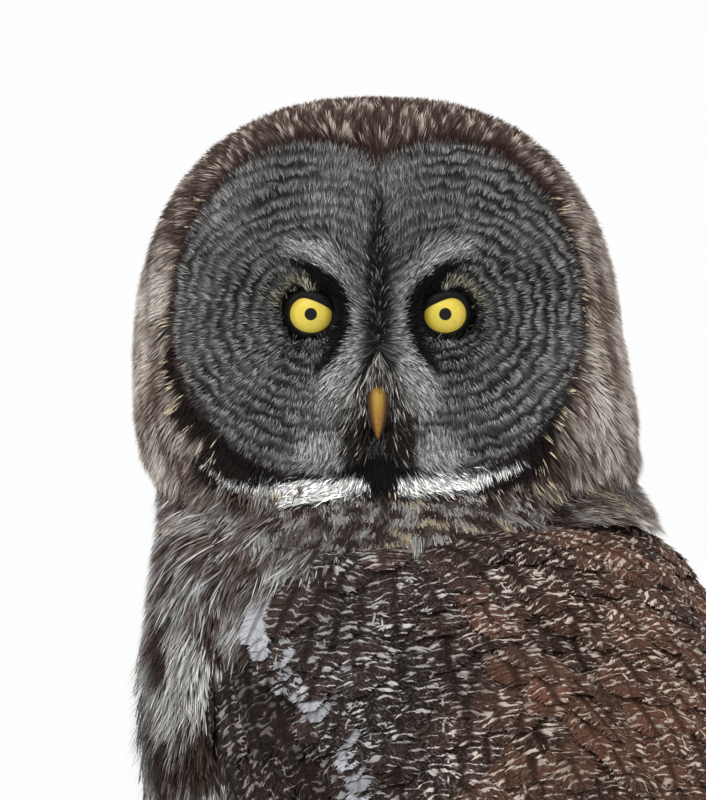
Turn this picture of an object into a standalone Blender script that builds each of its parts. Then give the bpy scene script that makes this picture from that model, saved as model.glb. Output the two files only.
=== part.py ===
"""Great grey owl, life size, standing with its head turned over its back.

Frame in metres: +Z up, the floor at Z 0, the bird's body facing -Y and its left side towards +X.
The origin is on the floor under the middle of the whole bird.
"""

import math
import random

import bmesh
import bpy
import numpy as np
from mathutils import Matrix, Vector

GAP = 0.0003

# Driving sizes of the whole bird
CROWN_Z = 0.470
HEAD_Y = -0.1070
HEAD_YAW = math.radians(132.0)
NECK_BASE_Z = 0.303
NECK_RINGS = (
    (NECK_BASE_Z, 1.0),
    (0.312, 1.0),
    (0.322, 1.0),
    (0.332, 1.0),
    (0.342, 1.0),
    (0.350, 1.0),
    (0.358, 0.93),
    (0.364, 0.80),
)
FEATHER_SEED = 11

# Head, in a frame that faces -Y with the head's own upright axis at X 0, Y 0
EYE_Z = 0.3935
EYE_SPREAD = 0.0235
HEAD_HALF_WIDTH = 0.0862
HEAD_MID_Z = 0.374
HEAD_DROP = 0.062
FACE_REACH = 0.052
NAPE_REACH = 0.082
CROWN_SQUARENESS = 2.45
JOWL_SQUARENESS = 3.3
NAPE_SQUARENESS = 2.15
DISC_HALF_WIDTH = 0.0485
DISC_HALF_HEIGHT = 0.0585
DISH_DEPTH = 0.0065
RUFF_HEIGHT = 0.0030
BRIDGE_HEIGHT = 0.0075
BRIDGE_WIDTH = 0.012
HEAD_SPOKES = 42

# Rings of the head: shares of the way to the disc's edge, then on round to the nape
HEAD_RINGS = (0.14, 0.30, 0.46, 0.62, 0.78, 0.90, 1.0, 1.045, 1.10, 1.17, 1.27, 1.39, 1.53, 1.68, 1.83)

# Eyes, lids and bill
EYE_RADIUS = 0.0112
EYE_OPENING = 0.0078
LID_THICKNESS = 0.0011
UPPER_LID_RISE = 0.0052
LOWER_LID_DROP = 0.0064
LID_SLANT = math.radians(20.0)
BILL_ROOT_Z = 0.3770
BILL_LENGTH = 0.0275
BILL_HALF_WIDTH = 0.0052
BILL_HALF_DEPTH = 0.0062
BILL_START = math.radians(44.0)
BILL_HOOK = math.radians(52.0)
UPPER_BILL_STATIONS = (0.0, 0.2, 0.4, 0.6, 0.78, 0.92, 1.0)
LOWER_BILL_STATIONS = (0.0, 0.2, 0.4, 0.56, 0.66)
BILL_SIDES = 12
NOSTRIL_STATION = 0.24
NOSTRIL_RADIUS = 0.0011

# Level sections of the body: height, middle behind the head's axis, half width, half depth
BODY_SECTIONS = (
    (0.345, 0.010, 0.074, 0.078),
    (0.330, 0.012, 0.078, 0.082),
    (0.315, 0.015, 0.082, 0.087),
    (0.295, 0.022, 0.089, 0.096),
    (0.265, 0.033, 0.096, 0.108),
    (0.235, 0.043, 0.100, 0.116),
    (0.200, 0.055, 0.100, 0.116),
    (0.165, 0.068, 0.095, 0.108),
    (0.135, 0.080, 0.085, 0.094),
    (0.114, 0.088, 0.071, 0.078),
    (0.098, 0.094, 0.052, 0.058),
    (0.088, 0.098, 0.028, 0.034),
)
BODY_SQUARENESS = 2.35
NECK_TOP_HALF_WIDTH = 0.078
NECK_TOP_FRONT = 0.042
NECK_TOP_BACK = 0.074
NECK_SQUARENESS = 2.3
NECK_TURN_LOW = 0.308
NECK_TURN_HIGH = 0.340
BODY_SPOKES = 38
BODY_RINGS = 15
FLANK_RECESS = 0.011
FLANK_MIDDLE = 22.0
FLANK_SPREAD = 42.0

# Level sections that the folded wings lie on, which run on over the tail
WING_SECTIONS = (
    (0.330, 0.012, 0.079, 0.084),
    (0.300, 0.021, 0.089, 0.096),
    (0.265, 0.033, 0.098, 0.110),
    (0.235, 0.043, 0.102, 0.118),
    (0.200, 0.056, 0.101, 0.118),
    (0.165, 0.075, 0.093, 0.110),
    (0.135, 0.103, 0.077, 0.093),
    (0.105, 0.141, 0.057, 0.075),
    (0.075, 0.184, 0.044, 0.055),
    (0.050, 0.222, 0.036, 0.042),
)
WING_SQUARENESS = 2.2
WING_BREAST_EDGE = (-24.0, 52.0)
WING_SPINE_EDGE = (58.0, 83.0)
WING_TOP_Z = 0.312
WING_TIP_Z = 0.062
WING_CORE_END = 0.70
WING_THICKNESS_TOP = 0.020
WING_THICKNESS_END = 0.0035
WING_MIDLINE_GAP = 0.0006
WING_STATIONS = (0.0, 0.03, 0.08, 0.15, 0.24, 0.34, 0.44, 0.54, 0.62, WING_CORE_END)
WING_COLUMNS = 9
WING_SWELL = 0.0035
PRIMARIES = 5
PRIMARY_WIDTH = 0.0115
PRIMARY_DEPTH = 0.0034
PRIMARY_LAYER = 0.00125
VANE_THICKNESS = 0.0009
VANE_TILT = 0.0008
VANE_OVERLAP = 1.3

# Secondaries, greater coverts, median coverts and two tiers of scapulars: how many, the first and
# last place across, the root's and tip's place along, width, root's depth, tip's height and slant
WING_TIERS = (
    (7, 0.16, 0.92, 0.48, 0.83, 0.024, 0.0020, 0.0024, 0.03),
    (7, 0.11, 0.89, 0.36, 0.58, 0.027, 0.0020, 0.0030, 0.0),
    (7, 0.13, 0.91, 0.23, 0.42, 0.027, 0.0020, 0.0032, 0.0),
    (3, 0.82, 0.96, 0.30, 0.57, 0.016, 0.0010, 0.0066, -0.02),
    (3, 0.78, 0.94, 0.15, 0.38, 0.018, 0.0010, 0.0074, -0.02),
)
VANE_OUTLINE = ((0.0, 0.60), (0.42, 1.0), (0.84, 0.86), (1.0, 0.28))

# Tail
TAIL_ROOT = (0.150, 0.150)
TAIL_TIP = (0.300, 0.0003)
TAIL_FEATHER_PAIRS = 6
TAIL_FEATHER_WIDTH = 0.024
TAIL_HALF_SPREAD = 0.036
TAIL_LAYER = 0.0015
TAIL_OUTLINE = ((0.0, 0.6), (0.35, 0.85), (0.72, 1.0), (0.94, 0.88), (1.0, 0.45))
TAIL_CORE_LENGTH = 0.098
TAIL_CORE_HALF_WIDTH = 0.034
TAIL_CORE_HALF_DEPTH = 0.017
TAIL_VANE_ROOT = 0.055
TAIL_BOW = 0.004

# Legs and feet
LEG_X = 0.043
LEG_Y = 0.048
ANKLE_Z = 0.030
LEG_SECTIONS = (
    (0.165, 0.030, 0.036, 0.012),
    (0.130, 0.029, 0.034, 0.010),
    (0.100, 0.026, 0.029, 0.006),
    (0.072, 0.021, 0.022, 0.002),
    (0.048, 0.0165, 0.0165, -0.001),
    (ANKLE_Z, 0.0135, 0.0135, 0.0),
)
ANKLE_SECTIONS = ((ANKLE_Z - GAP, 0.0135), (0.022, 0.0145), (0.012, 0.0150), (0.003, 0.0120))
FOOT_Z = 0.0088
TOE_RADIUS = 0.0082
TOE_OUTLINE = ((0.0, 1.0), (0.35, 1.05), (0.6, 0.95), (0.85, 0.92), (1.0, 0.62))
TOE_ARCH = 0.0022
TOE_SIDES = 8
CLAW_LENGTH = 0.025
CLAW_RADIUS = 0.0034
CLAW_LIFT = 0.30
CLAW_CURL = math.radians(60.0)
CLAW_STATIONS = (0.0, 0.2, 0.4, 0.6, 0.8, 1.0)
TOES = (
    ("inner", -28.0, 0.040),
    ("middle", 4.0, 0.045),
    ("outer", 62.0, 0.038),
    ("hind", 188.0, 0.026),
)

rng = random.Random(FEATHER_SEED)

for old in list(bpy.data.objects):
    bpy.data.objects.remove(old)
owl = bpy.data.collections.new("great_grey_owl")
bpy.context.scene.collection.children.link(owl)
cutters = bpy.data.collections.new("cutters")
bpy.context.scene.collection.children.link(cutters)


def finish_of(name, colour, roughness):
    """A plain Principled BSDF in the part's colour."""
    material = bpy.data.materials.new(name)
    material.use_nodes = True
    shader = material.node_tree.nodes["Principled BSDF"]
    shader.inputs["Base Color"].default_value = (*colour, 1.0)
    shader.inputs["Roughness"].default_value = roughness
    shader.inputs["Metallic"].default_value = 0.0
    return material


PLUMAGE = finish_of("plumage", (0.13, 0.105, 0.09), 0.85)
FACE = finish_of("face_plumage", (0.15, 0.15, 0.15), 0.85)
FLIGHT = finish_of("flight_feathers", (0.10, 0.075, 0.062), 0.7)
IRIS = finish_of("eye", (0.80, 0.62, 0.06), 0.08)
BILL = finish_of("bill", (0.62, 0.36, 0.04), 0.35)
CLAW = finish_of("claw", (0.025, 0.022, 0.022), 0.3)


def make(name, points, faces, material=PLUMAGE, group=owl):
    """A mesh object from points and faces, with its faces pointing out."""
    mesh = bpy.data.meshes.new(name)
    mesh.from_pydata([tuple(p) for p in points], [], faces)
    work = bmesh.new()
    work.from_mesh(mesh)
    bmesh.ops.triangulate(work, faces=work.faces)
    bmesh.ops.recalc_face_normals(work, faces=work.faces)
    work.to_mesh(mesh)
    work.free()
    thing = bpy.data.objects.new(name, mesh)
    mesh.materials.append(material)
    group.objects.link(thing)
    return thing


def loft(name, rings, material=PLUMAGE, group=owl):
    """A closed solid through rings that all have as many points, with a fan over each end."""
    count = len(rings[0])
    points = [p for ring in rings for p in ring]
    faces = []
    for i in range(len(rings) - 1):
        for j in range(count):
            k = (j + 1) % count
            faces.append((i * count + j, i * count + k, (i + 1) * count + k, (i + 1) * count + j))
    for ring, start in ((rings[0], 0), (rings[-1], (len(rings) - 1) * count)):
        middle = sum((Vector(p) for p in ring), Vector()) / count
        points.append(middle)
        for j in range(count):
            faces.append((start + j, start + (j + 1) % count, len(points) - 1))
    return make(name, points, faces, material, group)


def settle(thing):
    """Replaces an object's mesh by what its modifiers make of it."""
    graph = bpy.context.evaluated_depsgraph_get()
    made = bpy.data.meshes.new_from_object(thing.evaluated_get(graph))
    old = thing.data
    thing.modifiers.clear()
    thing.data = made
    bpy.data.meshes.remove(old)


def drop(thing):
    """Takes a helper out of the file."""
    bpy.data.objects.remove(thing)


def keep_largest(thing):
    """Leaves only the largest closed surface of a mesh, which fills sealed hollows and drops scraps."""
    work = bmesh.new()
    work.from_mesh(thing.data)
    left = set(work.verts)
    shells = []
    while left:
        stack = [left.pop()]
        shell = set(stack)
        while stack:
            for edge in stack.pop().link_edges:
                for vert in edge.verts:
                    if vert in left:
                        left.remove(vert)
                        shell.add(vert)
                        stack.append(vert)
        shells.append(shell)
    spans = []
    for shell in shells:
        xyz = np.array([v.co for v in shell])
        spans.append(float(np.prod(np.ptp(xyz, axis=0) + GAP)))
    largest = shells[int(np.argmax(spans))]
    bmesh.ops.delete(work, geom=[v for v in work.verts if v not in largest], context="VERTS")
    work.to_mesh(thing.data)
    work.free()


def cut(thing, tool, solver="EXACT"):
    """Takes tool's shape out of thing."""
    change = thing.modifiers.new("cut", "BOOLEAN")
    change.operation = "DIFFERENCE"
    change.solver = solver
    change.object = tool
    bpy.context.view_layer.update()
    settle(thing)


def join(thing, pieces, solver="EXACT"):
    """One Boolean union of thing with a collection of closed pieces, which are then removed."""
    group = bpy.data.collections.new(thing.name + "_pieces")
    bpy.context.scene.collection.children.link(group)
    for piece in pieces:
        group.objects.link(piece)
    change = thing.modifiers.new("join", "BOOLEAN")
    change.operation = "UNION"
    change.operand_type = "COLLECTION"
    change.solver = solver
    change.collection = group
    bpy.context.view_layer.update()
    settle(thing)
    for piece in pieces:
        drop(piece)
    bpy.data.collections.remove(group)
    keep_largest(thing)


def room_for(thing, by=GAP):
    """A cutter: a copy of thing in the world's frame, grown by a distance along its normals."""
    bpy.context.view_layer.update()
    mesh = thing.data.copy()
    mesh.transform(thing.matrix_world)
    work = bmesh.new()
    work.from_mesh(mesh)
    bmesh.ops.triangulate(work, faces=work.faces)
    work.normal_update()
    moves = [(v, v.normal * by * min(v.calc_shell_factor(), 1.5)) for v in work.verts]
    for vert, move in moves:
        vert.co += move
    work.to_mesh(mesh)
    work.free()
    tool = bpy.data.objects.new(thing.name + "_room", mesh)
    tool.hide_render = True
    tool.display_type = "WIRE"
    cutters.objects.link(tool)
    return tool


def clear_of(thing, *rooms):
    """Cuts thing back to the rooms kept round its neighbours."""
    for room in rooms:
        cut(thing, room)
    keep_largest(thing)


def slab(name, low, high):
    """A box cutter between two corners."""
    bpy.ops.mesh.primitive_cube_add(size=1.0)
    box = bpy.context.active_object
    box.name = name
    low = Vector(low)
    high = Vector(high)
    box.data.transform(Matrix.LocRotScale((low + high) / 2, None, high - low))
    box.hide_render = True
    box.display_type = "WIRE"
    for group in list(box.users_collection):
        group.objects.unlink(box)
    cutters.objects.link(box)
    return box


def blend(low, high, x):
    """Runs smoothly from 0 at low to 1 at high."""
    t = min(max((x - low) / (high - low), 0.0), 1.0)
    return t * t * (3.0 - 2.0 * t)


def section_at(sections, z):
    """The middle, half width and half depth of a table's smooth surface at a height."""
    heights = [s[0] for s in sections]
    z = min(max(z, heights[-1]), heights[0])
    i = 0
    while i < len(sections) - 2 and z < heights[i + 1]:
        i += 1
    t = (heights[i] - z) / (heights[i] - heights[i + 1])
    before = sections[max(i - 1, 0)]
    after = sections[min(i + 2, len(sections) - 1)]
    found = []
    for k in (1, 2, 3):
        p, q = sections[i][k], sections[i + 1][k]
        slope_p = (q - before[k]) / 2
        slope_q = (after[k] - p) / 2
        found.append(
            p * (2 * t**3 - 3 * t**2 + 1)
            + slope_p * (t**3 - 2 * t**2 + t)
            + q * (3 * t**2 - 2 * t**3)
            + slope_q * (t**3 - t**2)
        )
    return found


def oval(angle, half_width, half_depth, squareness=BODY_SQUARENESS):
    """A point on a superellipse about 0, 0 in the direction of an angle."""
    c, s = math.cos(angle), math.sin(angle)
    reach = (abs(c / half_width) ** squareness + abs(s / half_depth) ** squareness) ** (-1 / squareness)
    return reach * c, reach * s


def body_point(z, angle):
    """The body's outer surface. Angle 0 is the bird's left side and 90 degrees its back."""
    middle, half_width, half_depth = section_at(BODY_SECTIONS, z)
    from_side = abs(math.degrees(math.asin(math.sin(angle))) - FLANK_MIDDLE) / FLANK_SPREAD
    recess = FLANK_RECESS * blend(1.25, 0.75, from_side) * blend(0.308, 0.275, z) * blend(0.100, 0.150, z)
    x, y = oval(angle, half_width, half_depth)
    share = 1 - recess / math.hypot(x, y)
    return Vector((x * share, HEAD_Y + middle + y * share, z))


def head_place():
    """The head's frame set in the bird's frame."""
    return Matrix.Translation((0.0, HEAD_Y, 0.0)) @ Matrix.Rotation(HEAD_YAW, 4, "Z")


def disc_reach(spoke):
    """How far the facial disc's edge lies from the face's middle, along a spoke."""
    c, s = abs(math.cos(spoke)), math.sin(spoke)
    a = (c / DISC_HALF_WIDTH) ** 2 + (s / DISC_HALF_HEIGHT) ** 2
    b = -2 * c * EYE_SPREAD / DISC_HALF_WIDTH**2
    k = (EYE_SPREAD / DISC_HALF_WIDTH) ** 2 - 1
    return (-b + math.sqrt(b * b - 4 * a * k)) / (2 * a)


def lobe_share(x, z):
    """0 at the nearer eye's middle and 1 at the edge of its half of the facial disc."""
    return math.hypot((abs(x) - EYE_SPREAD) / DISC_HALF_WIDTH, (z - EYE_Z) / DISC_HALF_HEIGHT)


def head_point(direction):
    """The head's outer surface along a direction from its middle, in the head's own frame."""
    front = blend(0.6, -0.25, direction.y)
    outline = CROWN_SQUARENESS + (JOWL_SQUARENESS - CROWN_SQUARENESS) * blend(0.25, -0.35, direction.z)
    square = NAPE_SQUARENESS + (outline - NAPE_SQUARENESS) * front
    depth = FACE_REACH if direction.y < 0 else NAPE_REACH
    height = CROWN_Z - HEAD_MID_Z if direction.z > 0 else HEAD_DROP
    total = abs(direction.x / HEAD_HALF_WIDTH) ** square
    total += abs(direction.y / depth) ** square
    total += abs(direction.z / height) ** square
    point = Vector((0.0, 0.0, HEAD_MID_Z)) + direction * total ** (-1 / square)
    if direction.y < 0:
        rho = lobe_share(point.x, point.z)
        point.y += DISH_DEPTH * max(1 - rho * rho, 0.0) ** 1.5
        point.y -= RUFF_HEIGHT * math.exp(-(((rho - 1.07) / 0.07) ** 2))
        bridge = math.exp(-((point.x / BRIDGE_WIDTH) ** 2))
        point.y -= BRIDGE_HEIGHT * bridge * blend(0.445, 0.405, point.z) * blend(0.340, 0.372, point.z)
    return point


def build_head():
    """The head with its dished facial discs, raised ruff, bridge and lids."""
    rings = []
    for share in HEAD_RINGS:
        ring = []
        for j in range(HEAD_SPOKES):
            spoke = 2 * math.pi * j / HEAD_SPOKES
            reach = disc_reach(spoke)
            rise = reach * math.sin(spoke) + EYE_Z - HEAD_MID_Z
            rim = math.atan2(math.hypot(reach * math.cos(spoke), rise), FACE_REACH * 0.72)
            turn = rim * share if share <= 1 else rim + (math.pi - rim) * (share - 1)
            out = math.atan2(rise, reach * math.cos(spoke))
            direction = Vector(
                (math.sin(turn) * math.cos(out), -math.cos(turn), math.sin(turn) * math.sin(out))
            )
            ring.append(head_point(direction))
        rings.append(ring)
    head = loft("head", rings, FACE)
    head.data.transform(head_place())
    return head


def face_depth(x, z):
    """The Y of the face's surface at a place on the face, found by stepping the direction."""
    direction = Vector((x, -FACE_REACH, z - HEAD_MID_Z)).normalized()
    for _ in range(12):
        point = head_point(direction)
        direction = Vector((x, point.y, z - HEAD_MID_Z)).normalized()
    return head_point(direction).y


def ball(name, centre, radius, segments, rings, group=owl, material=PLUMAGE):
    """A sphere whose poles lie along Y, in the head's frame."""
    work = bmesh.new()
    bmesh.ops.create_uvsphere(work, u_segments=segments, v_segments=rings, radius=radius)
    place = head_place() @ Matrix.Translation(centre) @ Matrix.Rotation(math.pi / 2, 4, "X")
    bmesh.ops.transform(work, matrix=place, verts=work.verts)
    mesh = bpy.data.meshes.new(name)
    work.to_mesh(mesh)
    work.free()
    mesh.materials.append(material)
    thing = bpy.data.objects.new(name, mesh)
    group.objects.link(thing)
    return thing


def eye_centre(side):
    """The middle of an eyeball, set back so that its bulge fills the lids' opening."""
    x = side * EYE_SPREAD
    set_back = math.sqrt(EYE_RADIUS**2 - EYE_OPENING**2)
    return Vector((x, face_depth(x, EYE_Z) + set_back, EYE_Z))


def lid(name, side, centre, upper):
    """A cap of a thin shell round the eyeball, cut off by a slanting plane."""
    cap = ball(name, centre, EYE_RADIUS + GAP + LID_THICKNESS, 16, 10)
    level = UPPER_LID_RISE if upper else -LOWER_LID_DROP
    slant = LID_SLANT if upper else LID_SLANT * 0.3
    keep = Vector((-side * math.sin(slant), 0.0, math.cos(slant)))
    place = head_place()
    work = bmesh.new()
    work.from_mesh(cap.data)
    found = bmesh.ops.bisect_plane(
        work,
        geom=work.verts[:] + work.edges[:] + work.faces[:],
        plane_co=place @ (centre + keep * level),
        plane_no=place.to_3x3() @ (keep if upper else -keep),
        clear_inner=True,
    )
    rim = [e for e in found["geom_cut"] if isinstance(e, bmesh.types.BMEdge)]
    bmesh.ops.holes_fill(work, edges=rim)
    bmesh.ops.recalc_face_normals(work, faces=work.faces)
    work.to_mesh(cap.data)
    work.free()
    return cap


def build_eyes(head):
    """Both eyeballs, with their lids joined to the head and their sockets cut into it."""
    caps = []
    for side in (-1, 1):
        centre = eye_centre(side)
        for upper in (True, False):
            caps.append(lid("lid", side, centre, upper))
    join(head, caps)
    for side, name in ((1, "eye_left"), (-1, "eye_right")):
        centre = eye_centre(side)
        socket = ball("socket", centre, EYE_RADIUS + GAP, 16, 10, cutters)
        cut(head, socket)
        drop(socket)
        eye = ball(name, centre, EYE_RADIUS, 16, 10, owl, IRIS)
        eye.data.shade_smooth()
    keep_largest(head)


def bill_ring(share, lower):
    """A cross-section of a mandible, from its root at 0 to its tip at 1, in the head's frame."""
    root = Vector((0.0, face_depth(0.0, BILL_ROOT_Z) + 0.003, BILL_ROOT_Z))
    bend = BILL_START + BILL_HOOK * share
    along = Vector((0.0, -math.cos(bend), -math.sin(bend)))
    chord = BILL_START + BILL_HOOK * share / 2
    middle = root + Vector((0.0, -math.cos(chord), -math.sin(chord))) * BILL_LENGTH * share
    across = Vector((1.0, 0.0, 0.0))
    up = across.cross(along)
    if up.dot(Vector((0.0, -1.0, 1.0))) < 0:
        up = -up
    taper = max(1 - share**1.6, 0.06)
    width = BILL_HALF_WIDTH * taper
    depth = BILL_HALF_DEPTH * (0.35 + 0.65 * taper) * (1.0 if not lower else 0.62)
    if lower:
        middle = middle - up * (BILL_HALF_DEPTH * 0.70)
        width *= 0.86
    ring = []
    for j in range(BILL_SIDES):
        angle = 2 * math.pi * j / BILL_SIDES
        ring.append(middle + across * width * math.cos(angle) + up * depth * math.sin(angle))
    return ring


def build_bill(head):
    """The hooked upper mandible with its nostrils, and the lower mandible shut against it."""
    upper = loft("bill_upper", [bill_ring(share, False) for share in UPPER_BILL_STATIONS], BILL)
    lower = loft("bill_lower", [bill_ring(share, True) for share in LOWER_BILL_STATIONS], BILL)
    for piece in (upper, lower):
        piece.data.transform(head_place())
        piece.data.shade_smooth()
    seat = room_for(upper)
    seat_low = room_for(lower)
    clear_of(lower, seat)
    clear_of(head, seat, seat_low)
    ring = bill_ring(NOSTRIL_STATION, False)
    for side in (0, BILL_SIDES // 2):
        nostril = ball("nostril", ring[side], NOSTRIL_RADIUS, 10, 6, cutters)
        clear_of(upper, nostril)
        drop(nostril)


def neck_point(z, angle):
    """The neck's surface, which turns from the body's section into one that faces with the head."""
    turned = angle - HEAD_YAW
    local_x = math.cos(turned)
    local_y = math.sin(turned)
    depth = NECK_TOP_FRONT if local_y < 0 else NECK_TOP_BACK
    total = abs(local_x / NECK_TOP_HALF_WIDTH) ** NECK_SQUARENESS + abs(local_y / depth) ** NECK_SQUARENESS
    top_reach = total ** (-1 / NECK_SQUARENESS)
    low = body_point(z, angle)
    low_reach = math.hypot(low.x, low.y - HEAD_Y)
    share = blend(NECK_TURN_LOW, NECK_TURN_HIGH, z)
    reach = low_reach * (1 - share) + top_reach * share
    direction = Vector((low.x, low.y - HEAD_Y, 0.0)).normalized()
    flat = Vector((math.cos(angle), math.sin(angle), 0.0))
    direction = direction.lerp(flat, share).normalized()
    return Vector((0.0, HEAD_Y, z)) + direction * reach


def ring_of(point_at, z, scale=1.0):
    """A level ring of a surface, drawn in about its middle by a scale."""
    ring = [point_at(z, 2 * math.pi * (j + 0.5) / BODY_SPOKES) for j in range(BODY_SPOKES)]
    middle = sum(ring, Vector()) / len(ring)
    return [middle + (p - middle) * scale for p in ring]


def build_neck():
    """The neck's feathered column, from the shoulders up into the head."""
    return loft("neck", [ring_of(neck_point, z, scale) for z, scale in NECK_RINGS])


def build_torso():
    """The body's plumage from the neck's base to the vent, without the wings and tail."""
    low = BODY_SECTIONS[-1][0]
    top = NECK_BASE_Z - GAP
    rings = []
    for i in range(BODY_RINGS):
        share = i / (BODY_RINGS - 1)
        z = top + (low - top) * (1 - (1 - share) ** 1.25)
        rings.append(ring_of(body_point, z))
    return loft("torso", rings)


def strip(name, middles, acrosses, normals, widths, tilt=0.0, thickness=VANE_THICKNESS):
    """A thin vane of four-cornered sections, split alike on both faces, tilted like a shingle."""
    points = []
    for middle, across, normal, width in zip(middles, acrosses, normals, widths, strict=True):
        for side, face in ((-1, 1), (1, 1), (1, -1), (-1, -1)):
            lift = face * thickness / 2 - side * tilt
            points.append(middle + across * (side * width / 2) + normal * lift)
    faces = []
    for i in range(len(middles) - 1):
        a = [4 * i + k for k in range(4)]
        b = [4 * i + 4 + k for k in range(4)]
        faces += [(a[0], a[1], b[1]), (a[0], b[1], b[0])]
        faces += [(a[3], b[2], a[2]), (a[3], b[3], b[2])]
        faces += [(a[1], a[2], b[2]), (a[1], b[2], b[1])]
        faces += [(a[3], a[0], b[0]), (a[3], b[0], b[3])]
    last = 4 * (len(middles) - 1)
    faces += [(0, 1, 2), (0, 2, 3), (last, last + 1, last + 2), (last, last + 2, last + 3)]
    return make(name, points, faces, FLIGHT)


def wing_place(s, q):
    """A point on the folded left wing: s runs from the shoulder to the tip, q from breast to spine."""
    z = WING_TOP_Z + (WING_TIP_Z - WING_TOP_Z) * s
    breast_edge = WING_BREAST_EDGE[0] + (WING_BREAST_EDGE[1] - WING_BREAST_EDGE[0]) * s
    spine_edge = WING_SPINE_EDGE[0] + (WING_SPINE_EDGE[1] - WING_SPINE_EDGE[0]) * min(s * 1.6, 1.0)
    angle = math.radians(breast_edge + (spine_edge - breast_edge) * q)
    middle, half_width, half_depth = section_at(WING_SECTIONS, z)
    x, y = oval(angle, half_width, half_depth, WING_SQUARENESS)
    return Vector((x, HEAD_Y + middle + y, z))


def wing_frame(s, q):
    """The point, the way towards the tip, the way across and the outward normal on the wing."""
    step = 0.004
    point = wing_place(s, q)
    along = (wing_place(s + step, q) - wing_place(s - step, q)).normalized()
    across = wing_place(s, q + step) - wing_place(s, q - step)
    normal = across.cross(along).normalized()
    if normal.dot(Vector((1.0, 0.35, 0.1))) < 0:
        normal = -normal
    return point, along, normal.cross(along).normalized(), normal


def wing_swell(s, q):
    """How far the folded arm rounds out from the wing's plain surface."""
    return WING_SWELL * (1 - (2 * q - 1) ** 2) * max(1 - s / WING_CORE_END, 0.0)


def build_wing_core():
    """The folded arm and its small coverts: a slab that follows the body's side."""
    rings = []
    for s in WING_STATIONS:
        share = s / WING_CORE_END
        shoulder = 1 - blend(-0.02, 0.16, s)
        low = 0.02 + 0.36 * shoulder
        high = 1.0 - 0.16 * shoulder
        depth = WING_THICKNESS_TOP + (WING_THICKNESS_END - WING_THICKNESS_TOP) * share**0.8
        outer = []
        inner = []
        for c in range(WING_COLUMNS):
            q = low + (high - low) * c / (WING_COLUMNS - 1)
            point, _, _, normal = wing_frame(s, q)
            outer.append(point + normal * wing_swell(s, q))
            inner.append(point - normal * depth)
        rings.append(outer + inner[::-1])
    return loft("wing_left", rings, FLIGHT)


def wing_vane(s0, s1, q0, q1, breadth, spacing, sink, rise):
    """One feather of the wing, from a root sunk in it to a tip that lies over the next tier.

    It is as broad as it may be without crossing its neighbours, which lie a spacing away across.
    """
    middles, acrosses, normals, widths = [], [], [], []
    for t, share in VANE_OUTLINE:
        s = s0 + (s1 - s0) * t
        q = q0 + (q1 - q0) * t
        point, _, across, normal = wing_frame(s, q)
        chord = (wing_place(s, 1.0) - wing_place(s, 0.5)).length * 2
        middles.append(point + normal * (wing_swell(s, q) - sink + (sink + rise) * t**0.8))
        acrosses.append(across)
        normals.append(normal)
        widths.append(min(breadth, chord * spacing * VANE_OVERLAP) * share)
    return strip("vane", middles, acrosses, normals, widths, VANE_TILT)


def tier(count, q_first, q_last, s_root, s_tip, breadth, sink, rise, slant):
    """A row of like feathers across the wing, from its breast edge to its spine edge."""
    vanes = []
    spacing = (q_last - q_first) / (count - 1)
    for i in range(count):
        q = q_first + spacing * i
        s0 = s_root + slant * (i / (count - 1) - 0.5)
        length = (s_tip - s_root) * rng.uniform(0.96, 1.05)
        vanes.append(wing_vane(s0, s0 + length, q, q, breadth, spacing, sink, rise))
    return vanes


def build_wing():
    """The left wing: primaries under secondaries under two tiers of coverts, and the scapulars."""
    core = build_wing_core()
    vanes = []
    for i in range(PRIMARIES):
        t = i / (PRIMARIES - 1)
        depth = PRIMARY_DEPTH - PRIMARY_LAYER * i
        tip = 0.87 + 0.13 * t
        root_q = 0.08 + 0.12 * t
        tip_q = 0.12 + 0.52 * t
        vanes.append(wing_vane(0.56, tip, root_q, tip_q, PRIMARY_WIDTH, 1.0, depth, -depth))
    for row in WING_TIERS:
        vanes += tier(*row)
    join(core, vanes, "MANIFOLD")
    return core


def mirrored(thing, name):
    """A copy of a left-hand piece on the right-hand side."""
    mesh = thing.data.copy()
    mesh.transform(Matrix.Scale(-1.0, 4, (1.0, 0.0, 0.0)))
    mesh.flip_normals()
    copy = bpy.data.objects.new(name, mesh)
    owl.objects.link(copy)
    return copy


def tail_place(along, side, below):
    """A point in the tail: metres from its root, to the bird's left, and under its upper face."""
    root = Vector((0.0, HEAD_Y + TAIL_ROOT[0], TAIL_ROOT[1]))
    tip = Vector((0.0, HEAD_Y + TAIL_TIP[0], TAIL_TIP[1]))
    way = (tip - root).normalized()
    under = Vector((0.0, -way.z, way.y)).normalized()
    if under.z > 0:
        under = -under
    bow = TAIL_BOW * math.sin(math.pi * min(along / (tip - root).length, 1.0))
    return root + way * along + Vector((side, 0.0, 0.0)) + under * (below - bow), -under


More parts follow.
